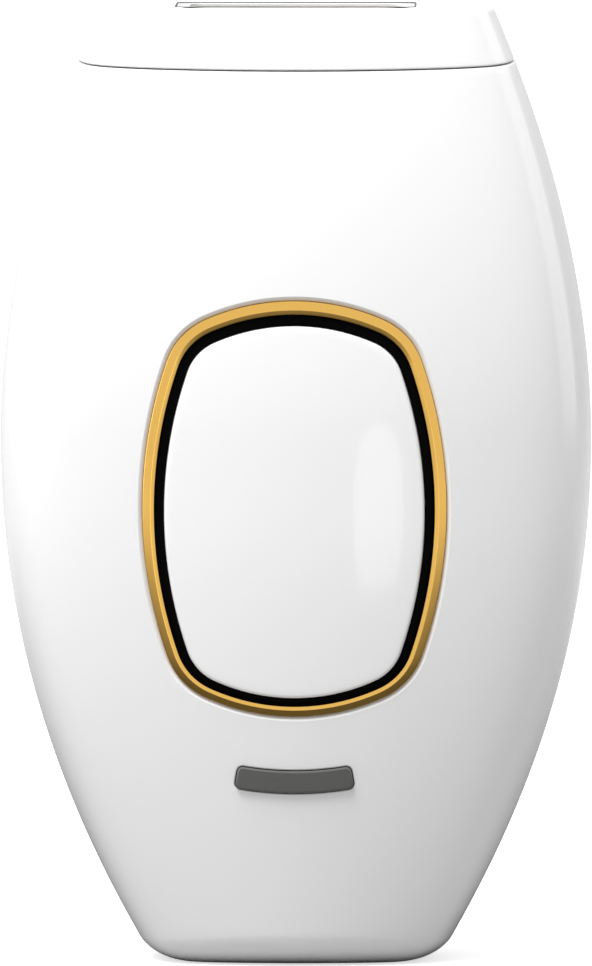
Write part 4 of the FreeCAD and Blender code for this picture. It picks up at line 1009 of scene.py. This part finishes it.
# %% One material from its numbers
def finish(name, color, roughness, metallic=0.0, coat=0.0, grain=1500.0, depth=0.02, wave=0.3,
           streaks=0.0, spread=0.06, dust=0.15, wear_and_sheen=0.3, worn_and_sheen=None, glass=0.0, ior=1.45,
           anisotropy=0.0, specular=0.5):
    """A Principled material whose colour, roughness and relief pass through the shared groups."""
    material = bpy.data.materials.new(name)
    material.use_nodes = True
    material.node_tree.nodes.clear()
    s = Sums(material.node_tree)
    surface = s.node("ShaderNodeBsdfPrincipled")
    s.feed(s.node("ShaderNodeOutputMaterial").inputs[0], surface.outputs[0])

    def group(shared, **values):
        made = s.node("ShaderNodeGroup", node_tree=shared)
        for label, value in values.items():
            s.feed(made.inputs[label.replace("_", " ")], value)
        return made.outputs

    grained = group(GRAIN, Fineness=grain, Waviness=wave, Streaks=streaks, Roughness=roughness,
                    Spread=spread)
    # The edge colour is lighter than the base: a painted edge highlight, together with wear.
    lighter = worn_and_sheen or tuple(min(1.0, c * 1.15 + 0.03) for c in color)
    rubbed_and_sheened = group(WEAR_AND_SHEEN, Color=(*color, 1), Roughness=grained["Roughness"], Amount=wear_and_sheen,
                    Worn_Color=(*lighter, 1))
    dusty = group(DUST, Color=rubbed_and_sheened["Color"], Roughness=rubbed_and_sheened["Roughness"], Amount=dust)
    bump = s.node("ShaderNodeBump")
    for label, value in (("Distance", depth / 1000), ("Height", grained["Height"])):
        s.feed(bump.inputs[label], value)
    for label, value in (
        ("Normal", bump.outputs[0]), ("Base Color", dusty["Color"]),
        ("Roughness", dusty["Roughness"]), ("Metallic", metallic), ("Coat Weight", coat),
        ("Transmission Weight", glass), ("IOR", ior), ("Anisotropic", anisotropy),
        ("Specular IOR Level", specular),
    ):
        s.feed(surface.inputs[label], value)
    return material


SHELL_WHITE = (0.80, 0.80, 0.80)
# Each lighter edge colour given below is also a painted highlight on the sharp edges.
FINISHES = {
    "shell_white": finish(
        "glossy white shell", SHELL_WHITE, 0.22, coat=0.3, depth=0.0016, dust=0.04, wear_and_sheen=0.15,
        wave=2.0),
    "button_white": finish(
        "polished white button", (0.83, 0.83, 0.83), 0.10, coat=0.6, depth=0.0008, dust=0.03,
        wear_and_sheen=0.1, wave=1.5),
    "gold_trim": finish(
        "gold anodised trim", (0.92, 0.55, 0.13), 0.20, metallic=1.0, depth=0.0008, streaks=0.6,
        dust=0.05, wear_and_sheen=0.4, worn_and_sheen=(0.92, 0.66, 0.34), anisotropy=0.3),
    "black_gloss": finish(
        "piano black trim", (0.0015, 0.0015, 0.0015), 0.30, depth=0.0006, dust=0.004, wear_and_sheen=0.05,
        worn_and_sheen=(0.01, 0.01, 0.01), specular=0.02),
    "bar_grey": finish(
        "satin grey key", (0.103, 0.103, 0.10), 0.38, depth=0.003, dust=0.10, wear_and_sheen=0.4,
        worn_and_sheen=(0.2, 0.2, 0.2)),
    "plug_white": finish(
        "unpolished white plastic", (0.60, 0.60, 0.58), 0.5, depth=0.01, dust=0.3),
    "chassis_grey": finish(
        "dark unpolished plastic", (0.15, 0.15, 0.155), 0.5, depth=0.01, dust=0.3),
    "steel": finish(
        "zinc plated steel", (0.56, 0.56, 0.58), 0.32, metallic=1.0, depth=0.004, streaks=0.5,
        dust=0.2),
    "silicone": finish(
        "milky silicone", (0.60, 0.61, 0.63), 0.45, depth=0.006, dust=0.5, specular=0.4),
    "board": finish(
        "green solder mask", (0.02, 0.17, 0.06), 0.28, coat=0.4, grain=400.0, depth=0.01,
        wave=1.5, spread=0.15, dust=0.35, worn_and_sheen=(0.35, 0.30, 0.12)),
    "black_plastic": finish(
        "moulded black plastic", (0.02, 0.02, 0.022), 0.45, depth=0.008, dust=0.25),
    "capacitor_sleeve": finish(
        "shrunk blue sleeve", (0.03, 0.05, 0.17), 0.33, depth=0.01, wave=2.0, dust=0.3),
    "ferrite": finish(
        "sintered ferrite", (0.045, 0.045, 0.05), 0.6, grain=3500.0, depth=0.02, dust=0.3),
    "copper_wire": finish(
        "enamelled copper", (0.72, 0.33, 0.14), 0.28, metallic=0.9, coat=0.5, streaks=1.5,
        depth=0.02, dust=0.2),
    "contact_metal": finish(
        "gold flashed contact", (0.83, 0.64, 0.28), 0.25, metallic=1.0, depth=0.003, dust=0.1),
    "tinned": finish(
        "tinned metal", (0.72, 0.72, 0.73), 0.35, metallic=1.0, depth=0.006, wave=1.5, dust=0.2),
    "led_white": finish("indicator package", (0.80, 0.82, 0.86), 0.3, depth=0.003, dust=0.2),
    "light_pipe": finish(
        "clear acrylic pipe", (0.92, 0.94, 0.96), 0.12, glass=0.85, ior=1.49, depth=0.002,
        dust=0.1),
    "filter_glass": finish(
        "coated filter glass", (0.97, 0.90, 0.82), 0.04, glass=0.9, ior=1.52, depth=0.0005,
        dust=0.05, wear_and_sheen=0.0, spread=0.01),
    "quartz": finish(
        "clear quartz", (0.95, 0.97, 0.99), 0.03, glass=0.95, ior=1.46, depth=0.0005, dust=0.02,
        wear_and_sheen=0.0, spread=0.01),
    "ceramic": finish(
        "white ceramic", (0.82, 0.81, 0.77), 0.4, grain=2500.0, depth=0.008, dust=0.2),
    "polished_aluminium": finish(
        "polished reflector", (0.91, 0.91, 0.92), 0.08, metallic=1.0, streaks=0.4, depth=0.0015,
        dust=0.02, wear_and_sheen=0.1),
    "heatsink_aluminium": finish(
        "extruded aluminium", (0.63, 0.63, 0.64), 0.36, metallic=1.0, streaks=1.2, depth=0.008,
        dust=0.2),
    "sensor_lens": finish(
        "infrared window", (0.03, 0.014, 0.01), 0.08, coat=0.6, depth=0.0008, dust=0.05),
}
print("finishes", len(FINISHES))

# %% [markdown]
# ## Put the pieces on their bodies
# Every remade piece rides on the body of the node it stands for. The frame's own nodes keep
# their meshes and take the finish of their slot.

# %% Remade pieces
SLOT_OF = {part["node"]: part["material_slot"] for part in frame["record"]["subparts"]}
BODY_OF = {
    node: body for body, nodes in frame["record"]["behaviour"]["bodies"].items() for node in nodes
}


def welded(node):
    """The frame's mesh of a node with its shared corners merged and flat faces joined."""
    work = bmesh.new()
    work.from_mesh(frame["nodes"][node].data)
    bmesh.ops.remove_doubles(work, verts=work.verts, dist=1e-6)
    flat = math.radians(0.5)
    bmesh.ops.dissolve_limit(work, angle_limit=flat, verts=work.verts, edges=work.edges)
    return taken_from(work, node + "_welded")


def softened(node, width):
    """The frame's mesh of a node with its sharp edges rounded by a small width in millimetres."""
    body = shown(node + "_soft", welded(node))
    modifier = body.modifiers.new("soft edge", "BEVEL")
    modifier.width = width / 1000
    modifier.segments = 2
    modifier.limit_method = "ANGLE"
    modifier.angle_limit = math.radians(SOFT_UP_TO)
    modifier.harden_normals = True
    return final_mesh(body)


def mounted(name, mesh, node, sharp=None):
    """A remade piece with its node's finish, on its node's body, in its node's place."""
    if sharp is not None:
        smooth(mesh, sharp)
    mesh.materials.clear()
    mesh.materials.append(FINISHES[SLOT_OF[node]])
    mesh.polygons.foreach_set("material_index", [0] * len(mesh.polygons))
    piece = linked(name, mesh)
    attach(piece, BODY_OF[node])
    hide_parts(node)
    return piece


for node, mesh in outer_meshes.items():
    mounted(node + "_moulding", mesh, node)
for node, mesh in inner_meshes.items():
    mounted(node + "_inner_side", mesh, node, sharp=30)
mounted("gold_ring_facets", gold_mesh, "gold_ring", sharp=25)
mounted("black_ring_band", black_mesh, "black_ring", sharp=40)
mounted("flash_button_dome", flash_mesh, "flash_button_cap", sharp=40)
mounted("level_button_face", level_mesh, "level_button_cap", sharp=40)
mounted("window_frame_soft", softened("window_frame", 0.12), "window_frame")

# %% [markdown]
# A thin dark seal closes the joint between the window frame and the cover. It is soft, so it
# stands a little above both and draws the window's outline. Seven outlines joined in a loop make
# it, which leaves no ends to close.

# %% Window seal
SEAL = [
    (0.05, -0.5), (0.09, -0.08), (0.18, 0.0), (0.16, 0.10), (0.02, 0.10), (0.0, -0.05), (0.0, -0.5),
]
seal_rings = [frame_ring(grow, HEIGHT + rise) for grow, rise in SEAL]
seal = linked("window_seal", stacked("window_seal", seal_rings, looped=True))
seal.data.materials.append(FINISHES["black_plastic"])
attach(seal, BODY_OF["window_frame"])
print("window seal", len(seal.data.polygons), "faces")

# %% Keep the finishes on the pieces that stay

replaced = set(outer_meshes) | set(inner_meshes) | {"gold_ring", "black_ring", "window_frame"}
for node, piece in frame["nodes"].items():
    if node not in replaced:
        for place in piece.material_slots:
            place.material = FINISHES[SLOT_OF[node]]
print("remade", sorted(replaced))

# %% [markdown]
# ## Floor, light and camera
# A pale floor runs far back so that no horizon shows. The key is a broad, far source from the
# upper left, which leaves the top left clean and the lower right greyer. It and the two large
# lights above are hidden from mirror reflections, because they would draw a hard band on the
# gold. A small upright oval card close to the front draws the drop-shaped highlight on the
# flash button. The world is brighter in reflections than as a light, so that the metal shines
# and the white does not burn out.

# %% Stage
def soft_light(name, place, target, size, power, shape="RECTANGLE", mirrored=True):
    """A flat studio light aimed at a point. Unless mirrored, glossy pieces do not show it."""
    data = bpy.data.lights.new(name, "AREA")
    data.shape = shape
    data.size, data.size_y = size
    data.energy = power
    light = linked(name, data)
    light.location = place
    aim = Vector(target) - Vector(place)
    light.rotation_euler = aim.to_track_quat("-Z", "Y").to_euler()
    light.visible_camera = False
    light.visible_glossy = mirrored


def studio_floor():
    """A wide matt sheet just under the base. It looks white but throws little light back, and
    glossy pieces see it as darker close by, as if a dark cloth lay in front of the base."""
    mesh = bpy.data.meshes.new("floor_sheet")
    half, drop = 8.0, -2e-5
    corners = [(-half, -half, drop), (half, -half, drop), (half, half, drop), (-half, half, drop)]
    mesh.from_pydata(corners, [], [(0, 1, 2, 3)])
    made = bpy.data.materials.new("studio sheet")
    made.use_nodes = True
    surface = made.node_tree.nodes["Principled BSDF"]
    s = Sums(made.node_tree)
    place = s.node("ShaderNodeTexCoord").outputs["Object"]
    tone = ramp(s, noise_at(s, place, 3.0, 3.0), 0.3, 0.7)
    seen = mixed(s, tone, (0.82, 0.82, 0.82, 1), (0.84, 0.84, 0.84, 1))
    path = s.node("ShaderNodeLightPath").outputs
    reach = s.node("ShaderNodeVectorMath", operation="LENGTH")
    s.feed(reach.inputs[0], place)
    distance = ramp(s, reach.outputs["Value"], 0.10, 0.5)
    mirrored = mixed(s, distance, (0.06, 0.06, 0.06, 1), (0.5, 0.5, 0.5, 1))
    others = mixed(s, path["Is Glossy Ray"], (0.38, 0.38, 0.38, 1), mirrored)
    s.feed(surface.inputs["Base Color"], mixed(s, path["Is Camera Ray"], others, seen))
    s.feed(surface.inputs["Emission Strength"], s.mul(path["Is Camera Ray"], 0.62))
    surface.inputs["Emission Color"].default_value = (1.0, 1.0, 1.0, 1)
    surface.inputs["Roughness"].default_value = 0.9
    surface.inputs["Specular IOR Level"].default_value = 0.1
    mesh.materials.append(made)
    linked("studio_floor", mesh)


def toward(azimuth, elevation):
    """The direction from the object to a place seen at an azimuth and elevation in degrees."""
    turn, rise = math.radians(azimuth), math.radians(elevation)
    level = math.cos(rise)
    return Vector((math.sin(turn) * level, -math.cos(turn) * level, math.sin(rise)))


def key_sun(azimuth, elevation, strength, spread):
    """A far, soft key light, so that the floor behind is lit as evenly as the object."""
    data = bpy.data.lights.new("key_light", "SUN")
    data.energy, data.angle = strength, math.radians(spread)
    light = linked("key_light", data)
    light.rotation_euler = (-toward(azimuth, elevation)).to_track_quat("-Z", "Y").to_euler()
    light.visible_glossy = False


studio_floor()
MID = (0.0, 0.0, 0.07)
key_sun(-42, 66, 4.25, 30)
soft_light("front_softbox", (-0.7, -1.3, 1.15), MID, (1.4, 1.0), 2.6, mirrored=False)
soft_light("overhead_light", (-0.1, -0.1, 1.3), MID, (1.5, 1.0), 4.6, mirrored=False)
soft_light("right_light", (1.5, 0.4, 0.5), MID, (1.0, 1.2), 5.4)
soft_light("left_light", (-1.6, -0.2, 0.5), MID, (0.8, 1.2), 5.4)
soft_light("drop_card", (0.078, -0.32, 0.030), (0.0105, -0.02, 0.065), (0.050, 0.085), 0.014,
           shape="ELLIPSE")

world = bpy.data.worlds.new("studio_world")
bpy.context.scene.world = world
world.use_nodes = True
sky = Sums(world.node_tree)
seen_sky = sky.node("ShaderNodeLightPath").outputs
backdrop = world.node_tree.nodes["Background"]
backdrop.inputs["Color"].default_value = (1.0, 1.0, 1.0, 1)
sky.feed(backdrop.inputs["Strength"], sky.mix(seen_sky["Is Camera Ray"],
         sky.mix(seen_sky["Is Glossy Ray"], 0.34, 0.85), 1.2))
bpy.context.scene.view_settings.view_transform = "Standard"

# %% Camera
AZIMUTH, ELEVATION, DISTANCE = 0.7, 4.2, 2.2
TALL_VIEW, VIEW_MIDDLE = 0.1422, 0.0701
back = toward(AZIMUTH, ELEVATION)
lens = bpy.data.cameras.new("studio_camera")
lens.sensor_width = 36.0
lens.lens = 36.0 * DISTANCE / TALL_VIEW
lens.clip_start, lens.clip_end = 0.05, 30.0
camera = linked("studio_camera", lens)
camera.location = Vector((0.0, 0.0, VIEW_MIDDLE)) + back * DISTANCE
camera.rotation_euler = (-back).to_track_quat("-Z", "Y").to_euler()
bpy.context.scene.camera = camera
